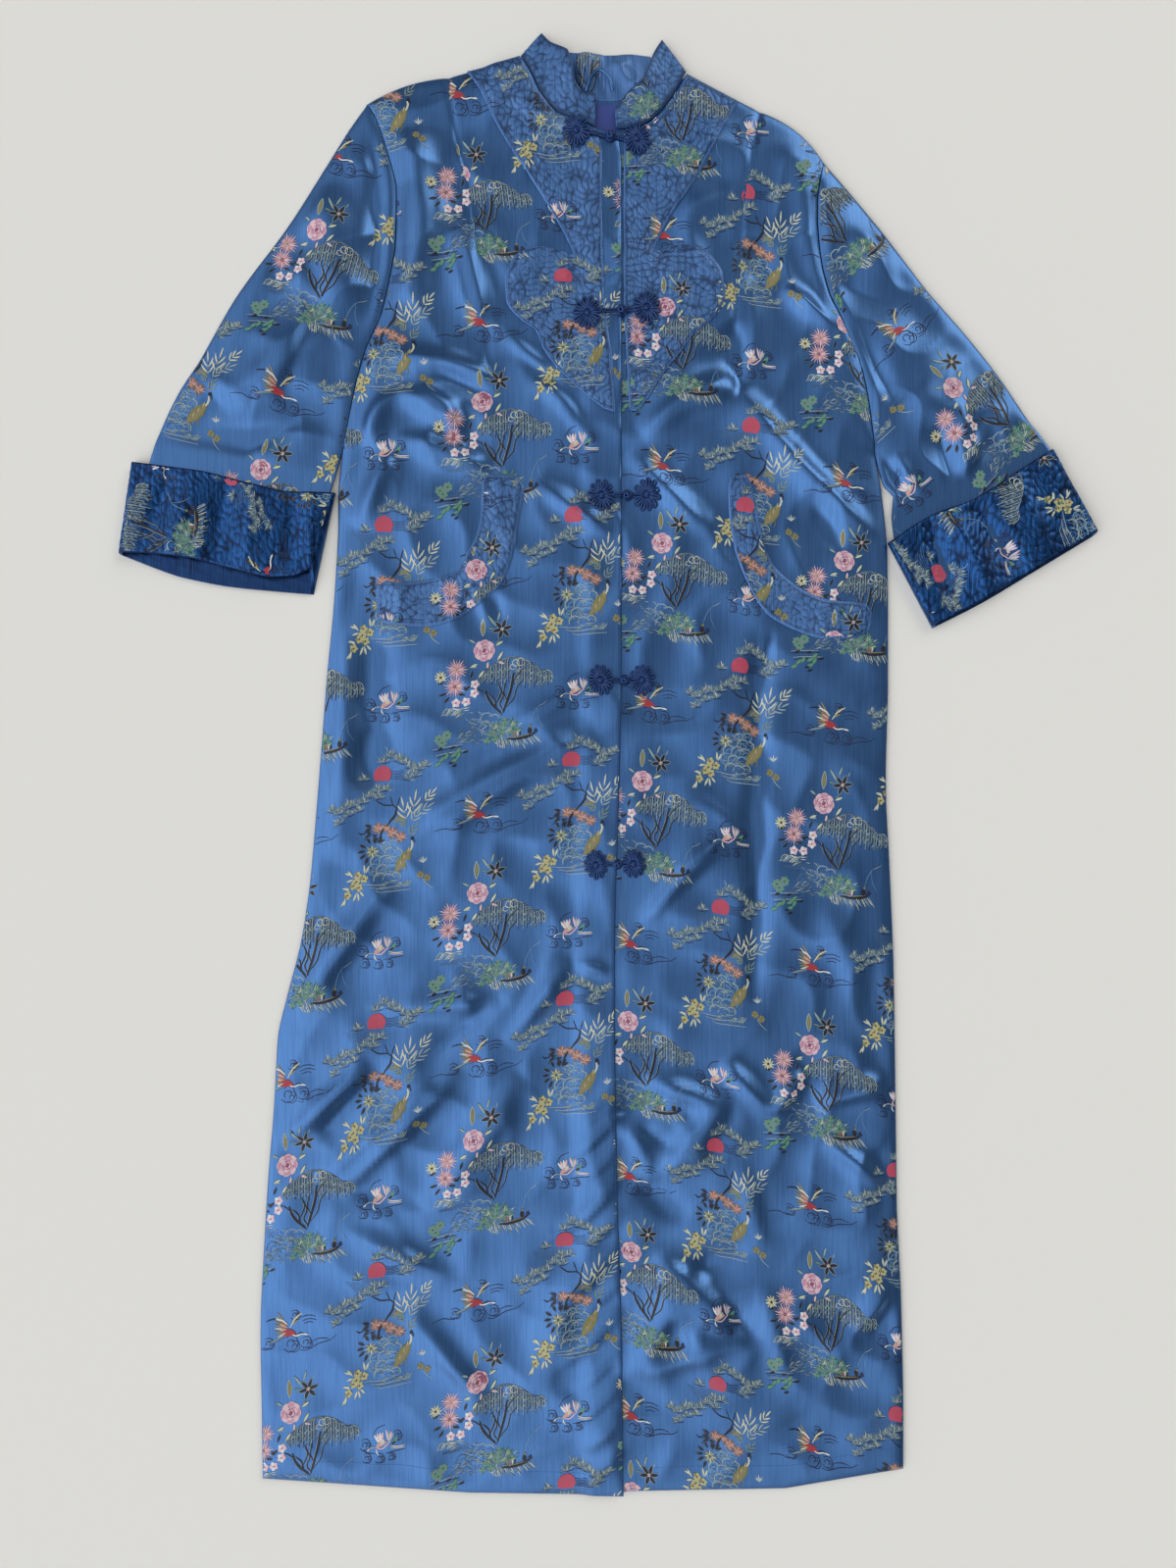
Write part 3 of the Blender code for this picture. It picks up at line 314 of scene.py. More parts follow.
# The largest folds: ridges, and troughs where height is negative. Each runs from start to end; before and
# after are its half widths on its left and its right hand, bow its sideways bend, crest 2 for a soft top
# and towards 1 for a sharp one.
# Columns: start_x, start_y, end_x, end_y, height, before, after, bow, crest
FOLDS = (
    # right sleeve
    (-216, 598, -220, 388, -5.0, 11, 9, 10, 1.8),
    (-262, 530, -244, 400, 6.0, 26, 20, 0, 2.0),
    (-356, 335, -258, 398, 7.5, 24, 16, -8, 1.8),
    (-410, 300, -280, 312, -5.0, 11, 11, -10, 1.8),
    (-322, 475, -290, 440, -3.0, 14, 14, 0, 2.0),
    # right chest and side
    (-180, 580, -178, 420, 7.0, 20, 22, 0, 2.0),
    (-138, 490, -112, 398, 5.0, 13, 16, 4, 1.6),
    (-196, 373, -98, 349, 5.5, 8, 10, 4, 1.5),
    (-171, 346, -130, 306, 5.0, 8, 10, 0, 1.5),
    (-162, 362, -104, 335, -3.0, 7, 7, 0, 1.6),
    (-221, 292, -196, 340, 6.0, 9, 11, 4, 1.6),
    (-200, 340, -128, 296, 6.0, 9, 9, 8, 1.5),
    (-199, 298, -108, 268, 4.5, 10, 12, 5, 1.7),
    (-200, 282, -226, 216, 6.0, 9, 12, 0, 1.7),
    (-68, 258, 4, 208, 4.0, 10, 8, 0, 1.6),
    (-212, 126, -212, -48, -4.0, 17, 15, 0, 2.0),
    (-242, 118, -248, -90, 3.5, 14, 12, 0, 2.0),
    (-204, -84, -14, 32, 8.0, 14, 20, 6, 1.6),
    (-96, 28, -14, 76, 5.0, 9, 12, 0, 1.5),
    # right skirt
    (-200, -108, -290, -232, 8.0, 12, 17, 0, 1.6),
    (-208, -222, -98, -216, 4.0, 10, 9, 0, 1.8),
    (-92, -254, -34, -178, 5.0, 10, 9, 0, 1.5),
    (-174, -276, -96, -210, -3.5, 9, 9, 0, 1.8),
    (-300, -347, -218, -272, 7.0, 9, 10, 0, 1.5),
    (-266, -344, -198, -272, -4.0, 8, 8, 0, 1.7),
    (-262, -378, -160, -290, 6.0, 9, 9, 0, 1.5),
    (-248, -393, -134, -278, 6.5, 8, 9, 0, 1.5),
    (-172, -402, -80, -284, 8.0, 14, 19, -6, 1.6),
    (-290, -392, -180, -390, -3.5, 13, 13, 0, 2.0),
    (-244, -422, -142, -468, 4.5, 9, 10, 0, 1.6),
    (-182, -498, -110, -584, 4.0, 10, 9, 0, 1.6),
    (-68, -578, -18, -430, 5.0, 17, 15, 0, 1.8),
    # left chest and side
    (172, 572, 194, 434, 5.0, 16, 18, 6, 2.0),
    (134, 486, 140, 438, -3.0, 13, 13, 0, 2.0),
    (160, 436, 208, 398, 5.0, 8, 9, 0, 1.5),
    (114, 404, 120, 340, -4.0, 8, 8, 0, 1.6),
    (120, 344, 246, 208, 7.0, 10, 16, -8, 1.5),
    (30, 300, 116, 354, 7.0, 13, 13, 4, 1.6),
    (18, 286, 92, 210, 5.0, 10, 9, 0, 1.6),
    (184, 250, 217, 192, -3.0, 8, 8, 0, 1.8),
    # left sleeve
    (208, 412, 262, 330, -4.5, 10, 10, 0, 1.7),
    (320, 330, 334, 258, 4.0, 8, 10, 0, 1.5),
    (276, 340, 330, 300, 3.5, 18, 18, 0, 2.0),
    (248, 282, 290, 226, -5.0, 8, 8, -5, 1.6),
    (258, 500, 232, 430, 3.5, 20, 20, 0, 2.0),
    # left skirt
    (136, 128, 134, -236, -5.0, 10, 8, 0, 1.6),
    (32, -147, 108, -60, 5.0, 7, 7, 3, 1.4),
    (48, -374, 114, -296, 7.0, 8, 13, 0, 1.4),
    (30, -284, 104, -311, 6.0, 9, 9, 0, 1.5),
    (104, -268, 150, -320, 6.0, 8, 8, 0, 1.4),
    (150, -320, 178, -278, 5.0, 8, 8, 0, 1.4),
    (188, -308, 254, -290, 6.0, 10, 9, 0, 1.6),
    (196, -340, 254, -384, 6.0, 9, 9, 0, 1.5),
    (26, -380, 74, -416, -4.0, 10, 10, 0, 1.8),
    (36, -456, 112, -516, 8.0, 22, 10, 0, 1.4),
    (20, -560, 74, -458, 6.0, 14, 13, 0, 1.6),
    (28, -554, 128, -520, 6.0, 13, 12, 0, 1.6),
    (226, -516, 256, -476, 5.0, 9, 9, 0, 1.6),
)
FOLD_EDGE_FADE = 13.0
# How much higher the folds stand than the tables say
FOLD_GAIN = 1.6
# Above the first height folds that cross are eased off, and they gain the second one at most
FOLD_CROWD = 5.6
FOLD_CROWD_RISE = 3.4

# Mesh spacing of the dressed pieces
FINE = {
    "front_rows": 4.0,
    "side_columns": 42,
    "centre_columns": 32,
    "sleeve_rows": 100,
    "back_rows": 112,
    "back_columns": 48,
    "cuff_rows": 60,
    "cuff_columns": 124,
    "cuff_under_columns": 44,
    "quilted": 1.55,
}
SIDE_ARC = (0.25, 0.5, 0.75)
SIDE_BULGE = 0.9
TURN_UNDER = 7.0
QUILT_TURN = 3.0
COLLAR_TURN = 2.0
LINING_TURN = 1.0
LINING_SHEET = 0.6
LINING_RIPPLE = 0.25
LINING_LIFT = 0.3
EDGE_ROUND = 0.9
EDGE_DIP = 0.35

# Finer folds, in the same columns as the table of the largest ones
FINE_FOLDS = (
    # chest and placket
    (-96, 394, -56, 359, 2.4, 5, 6, 0, 1.5),
    (-80, 372, -44, 345, -1.8, 4, 4, 0, 1.6),
    (-70, 350, -18, 306, 2.6, 6, 6, 3, 1.5),
    (-50, 330, -8, 290, 1.8, 4, 5, 0, 1.5),
    (-121, 162, -108, 126, 2.0, 5, 4, 0, 1.5),
    (-104, 158, -97, 128, -1.6, 4, 4, 0, 1.5),
    (-31, -180, 2, -190, 3.0, 5, 4, 0, 1.4),
    # left skirt
    (18, -324, 42, -380, 3.2, 6, 7, 0, 1.4),
    (30, -330, 62, -352, -2.6, 5, 6, 0, 1.4),
    (40, -440, 96, -500, 3.4, 9, 8, 0, 1.4),
    (72, -468, 128, -440, -3.0, 12, 9, 0, 1.4),
    (120, -360, 142, -446, 2.6, 8, 10, 0, 1.5),
    (196, -120, 232, -220, 2.2, 14, 12, 0, 1.8),
    (84, -20, 60, -140, 1.8, 16, 14, 0, 2.0),
    (40, -460, 92, -540, 3.4, 9, 7, 0, 1.4),
    (92, -470, 140, -530, -3.0, 9, 8, 0, 1.4),
    (140, -470, 160, -560, 2.2, 9, 8, 0, 1.6),
    (2, -318, 36, -306, -2.4, 5, 5, 0, 1.4),
    (56, -306, 92, -372, 2.6, 6, 7, 0, 1.4),
    (150, 122, 138, 60, -2.6, 4, 4, 0, 1.4),
    # left sleeve
    (246, 282, 276, 254, -3.0, 4, 5, 0, 1.5),
    (275, 255, 292, 222, -3.0, 4, 5, 0, 1.5),
    (262, 284, 286, 228, 2.6, 7, 6, 0, 1.5),
    (316, 304, 332, 246, 2.6, 6, 7, 0, 1.5),
    (300, 312, 314, 254, -2.0, 6, 6, 0, 1.6),
    (352, 330, 372, 282, 2.0, 9, 9, 0, 1.8),
    # right sleeve
    (-300, 470, -262, 420, 2.6, 10, 12, 0, 1.7),
    (-372, 356, -326, 330, 2.4, 9, 8, 0, 1.6),
    (-398, 300, -330, 290, 2.2, 7, 7, 0, 1.6),
    (-262, 420, -300, 330, -2.6, 10, 9, 0, 1.8),
)

# Soft folds of the back collar
COLLAR_FOLDS = (
    (-21, 660, -24, 612, 6.5, 14, 4, 0, 1.5),
    (-4, 656, -3, 606, -1.6, 2.4, 2.4, 0, 1.6),
    (4, 646, 30, 616, 4.0, 9, 8, 0, 1.7),
    (14, 640, 24, 624, -2.4, 5, 5, 0, 1.7),
)

# Puckers that run down and outwards from the right front's edge: how far down the edge each starts, how far
# it reaches and how high it stands
EDGE_PUCKERS = (
    (-283, 42, 2.6), (-313, 50, 3.2), (-342, 40, 2.4), (-374, 54, 3.4), (-405, 46, 2.8), (-434, 52, 3.4),
    (-466, 40, 2.6), (-495, 56, 3.6), (-529, 44, 2.8), (-558, 50, 3.0), (-590, 38, 2.4), (-621, 46, 2.6),
)
# Small wrinkles across the top of the placket: how far up each lies and how high it stands
PLACKET_WRINKLES = (
    (508, 0.7), (497, 0.5), (488, 0.8), (474, 0.6), (463, 0.8), (451, 0.5), (438, 0.7), (426, 0.6),
)

# Folds of the cuffs
CUFF_FOLDS = (
    (-372, 262, -404, 190, 3.0, 9, 9, 0, 1.8),
    (-396, 266, -430, 196, -2.4, 7, 8, 0, 1.8),
    (-346, 262, -362, 186, -2.2, 8, 8, 0, 1.8),
    (-322, 258, -330, 178, 2.4, 8, 9, 0, 1.8),
    (-286, 252, -292, 176, -1.8, 7, 7, 0, 1.8),
    (-268, 250, -272, 178, 1.8, 6, 6, 0, 1.8),
    (290, 230, 322, 140, -3.4, 6, 9, 0, 1.6),
    (306, 236, 352, 152, 3.2, 9, 9, 0, 1.7),
    (330, 244, 384, 162, -3.4, 7, 9, 0, 1.6),
    (366, 268, 404, 190, 2.2, 10, 10, 0, 1.8),
)

# Fine unevenness of the satin: wave lengths and height
RIPPLE_LENGTHS = (34.0, 90.0)
RIPPLE_HEIGHT = 0.5
CREASE_LENGTHS = (60.0, 120.0)
CREASE_HEIGHT = 1.6
BILLOW_LENGTHS = (120.0, 230.0)
BILLOW_HEIGHT = 0.9

# The underside of the back: how far it clears the ground, its creases and its ripples
UNDER_LIFT = 0.12
UNDER_CREASE = 0.25
UNDER_CREASE_WIDTH = 0.12
UNDER_RIPPLE = 0.06

# Vermicelli quilting: spacing of its wandering stitch lines, how high the cloth puffs up between them
VERMICELLI_LENGTHS = (7.6, 11.0)
PUFF_HEIGHT = 0.75
PUFF_STEEPNESS = 1.25
CUFF_PUFF = 1.05
# Painted shade of the quilting's hollows: how puffed the cuff's folded sides count
CUFF_SIDE_PUFF_SHADE = 0.7
COLLAR_PUFF = 0.8
RIM_HEIGHT = 0.35
RIM_MIDDLE = 1.0
RIM_WIDTH = 0.9
QUILT_EDGE = 4.0
QUILT_SINK = 0.5
# Painted shade of the quilting's hollows: how puffed flat cloth counts
FLAT_PUFF_SHADE = 0.8
BACK_COLLAR_PUFF = 0.35

# Brocade. The pattern repeats over the cloth, with a second group half way between four of the first.
REPEAT_ACROSS = 173.0
REPEAT_DOWN = 223.0
REPEAT_MIDDLE = (30.0, 20.0)
REPEAT_REACH = 230.0
REPEATS = 8
SUN_PLACE = (82.0, 116.5)
RED_CRANE_PLACE = (0.0, 75.0)
PINK_CRANE_PLACE = (84.0, 181.0)
THREAD_LIFT = 0.22
THREAD_LAYER = 0.05
UNDER_THREAD_LIFT = 0.03
THREAD_CREST = 1.6
LOWEST_THREAD = 0.02
# Heights come from rays that start this far above or below, and say MISSED where they meet no cloth
RAY_START = 100
MISSED = 1e3
FIRST_REPEAT = 2
DART_TAKES_IN = (400.0, 560.0)

# Where the middle rose of each repeat lies down a front, and how far the weft tilts there, in degrees
# Columns: x, y, tilt
RIGHT_GRAIN = (
    (-122, 775, 1), (-122, 552, 1), (-115, 331, 2), (-113, 104, 3.5), (-119, -117, 5.5), (-122, -340, 8.6),
    (-119, -562, 9.8), (-119, -785, 10),
)
LEFT_GRAIN = (
    (66, 859, -3), (45, 630, -4), (51, 417, -5), (49, 202, -5.6), (31, -15, -7), (18, -234, -7.5),
    (21, -444, -10), (22, -665, -11),
)

# Where one rose of each other piece lies, and how far its pattern is turned
# Columns: x, y, turn
GRAINS = {
    "right_sleeve": (-265, 486, -13.5),
    "left_sleeve": (313, 342, 42),
    "right_cuff": (-240, 163, 81),
    "left_cuff": (373, 288, -70),
    "right_pocket_band": (-120, 177, 5),
    "left_pocket_band": (205, 112, -5),
    "collar_back": (-41, 664, 0),
    "collar_left": (18, 675, 0),
    "back": (0, 40, 0),
}
COLLAR_BACK_PATTERN = (-30, -6)
COLLAR_LEFT_PATTERN_TOP = 617

# Thread colours, in linear light
THREADS = {
    "rose_pink": (0.46, 0.22, 0.30),
    "deep_pink": (0.25, 0.075, 0.125),
    "pale_pink": (0.62, 0.42, 0.45),
    "peach": (0.50, 0.29, 0.26),
    "cream": (0.50, 0.50, 0.38),
    "white": (0.60, 0.62, 0.60),
    "silver": (0.25, 0.32, 0.34),
    "sage": (0.140, 0.200, 0.185),
    "olive": (0.17, 0.155, 0.045),
    "yellow": (0.38, 0.35, 0.17),
    "gold": (0.215, 0.18, 0.085),
    "orange": (0.28, 0.118, 0.082),
    "coral": (0.40, 0.050, 0.090),
    "crimson": (0.32, 0.028, 0.036),
    "green": (0.090, 0.225, 0.155),
    "deep_green": (0.025, 0.095, 0.07),
    "navy": (0.006, 0.014, 0.055),
    "black": (0.004, 0.005, 0.014),
    "ice": (0.12, 0.25, 0.42),
    "slate": (0.050, 0.105, 0.20),
}
THREAD_NAMES = list(THREADS)

# Topstitching, cords and flowers of cord
STITCH_PITCH = 3.1
STITCH_LENGTH = 2.3
STITCH_RADIUS = 0.24
STITCH_LIFT = 0.05
FRONT_EDGE_STITCHES = (1.6, 4.0)
PLACKET_STITCHES = 16.6
PLACKET_END = 392
HEM_STITCHES = 22.0
YOKE_STITCHES = (1.4, 3.6)
BAND_STITCHES = (1.3, 3.2)
COLLAR_STITCHES = (1.3,)
CUFF_STITCHES = (2.0,)
CORD_SIDES = 7
CORD_RADIUS = 1.08
FLOWER_PETALS = 11
# The cord of a petal, out on one side and back on the other: shares of the flower's radius and of the
# petal's angle, and height
PETAL = (
    (0.26, -0.36, 2.2), (0.55, -0.27, 2.7), (0.80, -0.27, 2.1), (0.94, -0.22, 1.4), (1.0, 0.0, 1.2),
    (0.94, 0.22, 1.4), (0.80, 0.27, 2.1), (0.55, 0.27, 2.7), (0.26, 0.36, 2.2),
)
CORD_LIFT = 0.3
# The ball has this radius beside a flower of this half width, and grows with it
BALL_RADIUS = 3.3
BALL_FLOWER = 13.0
FLOWER_MIDDLE = 0.55
CORD_DROP = 1.5

# Names of the pieces that come in pairs
FRONTS = ("right_front", "left_front")
YOKES = ("right_yoke", "left_yoke")
BANDS = ("right_pocket_band", "left_pocket_band")
CUFFS = ("right_cuff", "left_cuff")
COLLAR_ENDS = ("collar_right", "collar_left")

# Colours, in linear light
SATIN_BLUE = (0.060, 0.152, 0.340)
SATIN_DEEP = (0.044, 0.118, 0.285)
QUILT_BLUE = (0.074, 0.178, 0.395)
QUILT_DEEP = (0.036, 0.098, 0.255)
CUFF_BLUE = (0.010, 0.080, 0.250)
CUFF_DEEP = (0.002, 0.018, 0.080)
FACING_BLUE = (0.009, 0.042, 0.135)
FACING_DEEP = (0.003, 0.014, 0.052)
LINING_BLUE = (0.020, 0.042, 0.205)
CORD_NAVY = (0.012, 0.048, 0.165)
THREAD_NAVY = (0.006, 0.018, 0.080)
STITCH_BLUE = (0.030, 0.095, 0.300)
STITCH_DEEP = (0.018, 0.055, 0.180)
FLOOR_COLOUR = (0.74, 0.71, 0.65)
FLOOR_HALF = 4.0
FLOOR_DROP = -0.0004

# Camera and lights, in metres
CAMERA_X = -0.0185
CAMERA_Y = -0.0176
CAMERA_HEIGHT = 1.079
CAMERA_LENS = 27.0
KEY_TURN = (-60.0, 0.0, -40.0)
KEY_SPREAD = 40.0
KEY_STRENGTH = 1.1
KEY_COLOUR = (1.0, 0.98, 0.94)
ROOM_COLOUR = (0.90, 0.94, 1.0, 1)
BRIGHT_SIDE = (-0.70, -0.38, 0.60)
ROOM_TURNS = (0.25, 0.95)
ROOM_DIM = 0.12
ROOM_BRIGHT = 1.68
OVERHEAD_TURNS = (0.90, 0.99)
OVERHEAD_DIM = 0.80
AROUND_BRIGHT = 1.26

# How each satin shines: roughness and glow
SATIN_FINISH = (0.31, 0.78)
QUILT_FINISH = (0.44, 0.50)
CUFF_FINISH = (0.35, 0.74)
# How dark the painted shade in the quilting's hollows is, as a share of the deep colour
HOLLOW_SHADE = 0.40
SHEEN = 0.05
SATIN_SHEEN = (0.40, 0.60, 1.0, 1)
CLOTH_SHEEN = (0.4, 0.5, 1.0, 1)
# How fine the noise is across, along and through the cloth, in turns a metre
WARP_STREAKS = (1100, 30, 60)
FINE_THREADS = (2600, 300, 900)
# Edges of a mesh that fold by more degrees than this stay sharp
SHARP_FOLD = 62.0


def smooth_rows(points, spacing):
    """More rows between those of a table, on a Catmull-Rom curve through every one of them."""
    points = np.asarray(points, float)
    padded = np.vstack([2 * points[0] - points[1], points, 2 * points[-1] - points[-2]])
    made = []
    for before, start, end, after in zip(padded, padded[1:], padded[2:], padded[3:]):
        length = max(np.linalg.norm((end - start)[k : k + 2]) for k in range(0, len(start) - 1, 2))
        steps = max(1, round(length / spacing))
        into = (end - before) / 2
        out = (after - start) / 2
        limit = 1.2 * np.abs(end - start)
        into = np.clip(into, -limit, limit)
        out = np.clip(out, -limit, limit)
        for step in range(steps):
            t = step / steps
            made.append(
                (2 * t**3 - 3 * t**2 + 1) * start
                + (t**3 - 2 * t**2 + t) * into
                + (3 * t**2 - 2 * t**3) * end
                + (t**3 - t**2) * out
            )
    made.append(points[-1])
    return np.array(made)


def along(points, count, spacing=2.0):
    """Evenly spaced points on a smooth curve through the given ones."""
    fine = smooth_rows(points, spacing)
    steps = np.linalg.norm(np.diff(fine, axis=0), axis=1)
    way = np.concatenate([[0], np.cumsum(steps)])
    wanted = np.linspace(0, way[-1], count)
    return np.stack([np.interp(wanted, way, fine[:, k]) for k in range(fine.shape[1])], axis=1)


def ruled(starts, ends, shares, bow=None):
    """A grid of points with a row across from each start to its end, bulged by bow."""
    share = np.asarray(shares, float)[None, :, None]
    grid = starts[:, None] * (1 - share) + ends[:, None] * share
    if bow is not None:
        across = ends - starts
        upward = np.stack([-across[:, 1], across[:, 0]], axis=1)
        upward *= np.sign(upward[:, 1:2]) / np.linalg.norm(upward, axis=1, keepdims=True)
        grid += (bow[:, None] * upward)[:, None] * (4 * share * (1 - share))
    return grid


def coons(top, bottom, first, last):
    """A grid of points inside four border curves: top and bottom run across, first and last run down."""
    across = np.linspace(0, 1, len(top))[None, :, None]
    down = np.linspace(0, 1, len(first))[:, None, None]
    between_ends = (1 - down) * top[None] + down * bottom[None]
    between_sides = (1 - across) * first[:, None] + across * last[:, None]
    corners = (1 - down) * ((1 - across) * top[0] + across * top[-1]) + down * (
        (1 - across) * bottom[0] + across * bottom[-1]
    )
    return between_ends + between_sides - corners


def distances(x, y, line):
    """How far each point is from each stretch of a line."""
    start, end = line[:-1], line[1:]
    run = end - start
    length = np.maximum((run**2).sum(axis=1), 1e-9)
    from_x = x[..., None] - start[:, 0]
    from_y = y[..., None] - start[:, 1]
    foot = np.clip((from_x * run[:, 0] + from_y * run[:, 1]) / length, 0, 1)
    return np.hypot(from_x - foot * run[:, 0], from_y - foot * run[:, 1])


class Lie:
    """How high the upper layer of a piece lies: low at its edges, level inside, with the folds on it."""

    def __init__(self, *edges):
        """edges: pairs of a line and the height of the cloth along it."""
        self.edges = edges

    def __call__(self, x, y):
        level = np.full(x.shape, 1e9)
        nearest = np.full(x.shape, 1e9)
        for line, edge_height in self.edges:
            off = distances(x, y, line).min(axis=-1)
            level = np.minimum(level, edge_height + PLATEAU_RISE * (1 - np.exp(-off / ROLL)))
            nearest = np.minimum(nearest, off)
        fade = 1 - np.exp(-((nearest / FOLD_EDGE_FADE) ** 2))
        folded = folds_at(x, y) + unevenness(x, y)
        crowded = np.maximum(folded - FOLD_CROWD, 0)
        folded = np.minimum(folded, FOLD_CROWD) + FOLD_CROWD_RISE * np.tanh(crowded / FOLD_CROWD_RISE)
        return np.maximum(level + fade * folded, LOWEST_FRONT)


def folds_at(x, y, folds=None):
    """The height of all folds together at each point."""
    total = np.zeros(x.shape)
    folds = ALL_FOLDS if folds is None else folds
    for start_x, start_y, end_x, end_y, height, before, after, bow, crest in folds:
        run = np.array([end_x - start_x, end_y - start_y], float)
        length = np.linalg.norm(run)
        run /= length
        reach = ((x - start_x) * run[0] + (y - start_y) * run[1]) / length
        aside = -(x - start_x) * run[1] + (y - start_y) * run[0]
        aside = aside - bow * 4 * reach * (1 - reach)
        width = np.where(aside > 0, before, after)
        inside = np.clip(reach, 0, 1)
        taper = np.sin(math.pi * inside) ** 0.8 * ((reach > 0) & (reach < 1))
        total += FOLD_GAIN * height * taper * np.exp(-(np.abs(aside / width) ** crest))
    return total


class Waves:
    """A smooth uneven field, from plane waves in every direction whose lengths lie within a band."""

    def __init__(self, seed, lengths, count=26):
        drawn = np.random.default_rng(seed)
        number = 2 * math.pi / drawn.uniform(*lengths, count)
        angle = drawn.uniform(0, 2 * math.pi, count)
        self.across = number * np.cos(angle)
        self.down = number * np.sin(angle)
        self.phase = drawn.uniform(0, 2 * math.pi, count)

    def __call__(self, x, y):
        total = np.zeros(x.shape)
        for across, down, phase in zip(self.across, self.down, self.phase):
            total += np.cos(across * x + down * y + phase)
        return total * math.sqrt(2 / len(self.phase))


RIPPLES = Waves(3, RIPPLE_LENGTHS)
CREASES = Waves(8, CREASE_LENGTHS)
BILLOWS = Waves(5, BILLOW_LENGTHS)
STITCH_LINES = Waves(21, VERMICELLI_LENGTHS, 40)


def unevenness(x, y):
    """Slight ripples of the satin, and faint sharp creases where it was folded up."""
    creases = CREASE_HEIGHT * np.abs(CREASES(x, y)) ** 0.8
    return RIPPLE_HEIGHT * RIPPLES(x, y) + BILLOW_HEIGHT * BILLOWS(x, y) - creases


def puffs(x, y, stretch=(1.0, 1.0)):
    """Quilted cloth between its wandering stitch lines: 0 on a line, 1 in the middle of a puff."""
    field = STITCH_LINES(x / stretch[0], y / stretch[1])
    return np.tanh(PUFF_STEEPNESS * np.abs(field))


PUCKERS = tuple(
    (12, start, 12 - reach, start - 0.95 * reach, height, 6, 8, 2, 1.5)
    for start, reach, height in EDGE_PUCKERS
)
PLACKET_FOLDS = [
    (-9, start - 2, 17, start + 11, height, 2.4, 2.4, 0, 1.6) for start, height in PLACKET_WRINKLES
]
ALL_FOLDS = FOLDS + FINE_FOLDS + PUCKERS


class Weave:
    """Woven thread in the plane of the cloth, in millimetres: triangles with a colour and a layer."""

    def __init__(self, fine=True):
        self.fine = fine
        self.points = np.zeros((0, 2))
        self.layers = np.zeros(0)
        self.triangles = np.zeros((0, 3), int)
        self.colours = np.zeros(0, int)

    def add(self, points, layers, triangles, colours):
        """More thread: triangles count from the first of the new points."""
        self.triangles = np.concatenate([self.triangles, np.asarray(triangles) + len(self.points)])
        self.points = np.concatenate([self.points, points])
        self.layers = np.concatenate([self.layers, layers])
        self.colours = np.concatenate([self.colours, colours])

    def strip(self, line, half_widths, colour, layer=0, crest=True):
        """A band of thread along a line. With a crest it is raised along its middle."""
        line = np.asarray(line, float)
        crest = crest and self.fine
        run = np.gradient(line, axis=0)
        run /= np.maximum(np.linalg.norm(run, axis=1, keepdims=True), 1e-6)
        aside = np.stack([-run[:, 1], run[:, 0]], axis=1) * np.asarray(half_widths, float)[:, None]
        sides = [line - aside, line, line + aside] if crest else [line - aside, line + aside]
        across = len(sides)
        points = np.stack(sides, axis=1).reshape(-1, 2)
        raise_by = (0, THREAD_CREST, 0) if crest else (0, 0)
        layers = np.tile(raise_by, len(line)) + float(layer)
        triangles = []
        for i in range(len(line) - 1):
            for j in range(across - 1):
                a = i * across + j
                triangles += [(a, a + 1, a + across + 1), (a, a + across + 1, a + across)]
        self.add(points, layers, triangles, np.full(len(triangles), THREAD_NAMES.index(colour)))

    def stroke(self, places, width, colour, layer=0, crest=False):
        """A thread on a smooth curve through a few places, thinner towards its ends."""
        if not self.fine and width < 0.75:
            return
        places = np.asarray(places, float)
        length = np.linalg.norm(np.diff(places, axis=0), axis=1).sum()
        count = max(3, int(length / (2.6 if self.fine else 5.0)) + 1)
        share = np.linspace(0, 1, count)
        widths = width / 2 * (0.35 + 0.65 * np.sin(math.pi * (0.1 + 0.8 * share)))
        self.strip(along(places, count, 0.4), widths, colour, layer, crest)

    def leaf(self, x, y, angle, length, width, colour, layer=0, bend=0.0, stations=5):
        """A leaf or a petal from its foot outwards, pointed at both ends."""
        if not self.fine and width < 0.95:
            return
        turn = math.radians(angle)
        share = np.linspace(0, 1, stations if self.fine else 3)
        out = share * length
        aside = bend * length * share * (1 - share) * 4
        line = np.stack([
            x + out * math.cos(turn) - aside * math.sin(turn),
            y + out * math.sin(turn) + aside * math.cos(turn),
        ], axis=1)
        widths = width / 2 * np.sin(math.pi * (0.04 + 0.92 * share)) ** 0.8
        self.strip(line, widths, colour, layer)

    def hatch(self, x, y, across, down, count, colours, turn=0.0, layer=0.5, width=0.8):
        """Short uneven threads that shade a rock, a bush or water."""
        drawn = np.random.default_rng(int(9000 + 7 * x + 13 * y + count))
        for k in range(count if self.fine else count // 4):
            out, angle = math.sqrt(drawn.uniform()), drawn.uniform(0, 2 * math.pi)
            foot_x, foot_y = x + across * out * math.cos(angle), y + down * out * math.sin(angle)
            lean, length = drawn.uniform(-32, 32), drawn.uniform(3.6, 7.4)
            bend = drawn.uniform(-0.25, 0.25)
            colour = colours[k % len(colours)]
            self.leaf(foot_x, foot_y, turn + lean, length, width, colour, layer + k % 3, bend, 3)

    def outlined_leaf(self, x, y, angle, length, width, colour, edge, layer=0, bend=0.0):
        """A leaf on a slightly larger one that shows as its rim."""
        self.leaf(x, y, angle, length * 1.06, width * 1.28, edge, layer, bend, 4)
        self.leaf(x, y, angle, length * 0.98, width * 0.84, colour, layer + 1.7, bend, 4)

    def disc(self, x, y, radius, colour, layer=0, sides=9):
        """A round patch of thread, raised in its middle."""
        angle = np.linspace(0, 2 * math.pi, sides, endpoint=False)
        ring = np.stack([x + radius * np.cos(angle), y + radius * np.sin(angle)], axis=1)
        layers = np.full(sides + 1, float(layer))
        layers[0] += THREAD_CREST / 2
        triangles = [(0, 1 + k, 1 + (k + 1) % sides) for k in range(sides)]
        self.add(
            np.concatenate([[(x, y)], ring]), layers, triangles, np.full(sides, THREAD_NAMES.index(colour))
        )

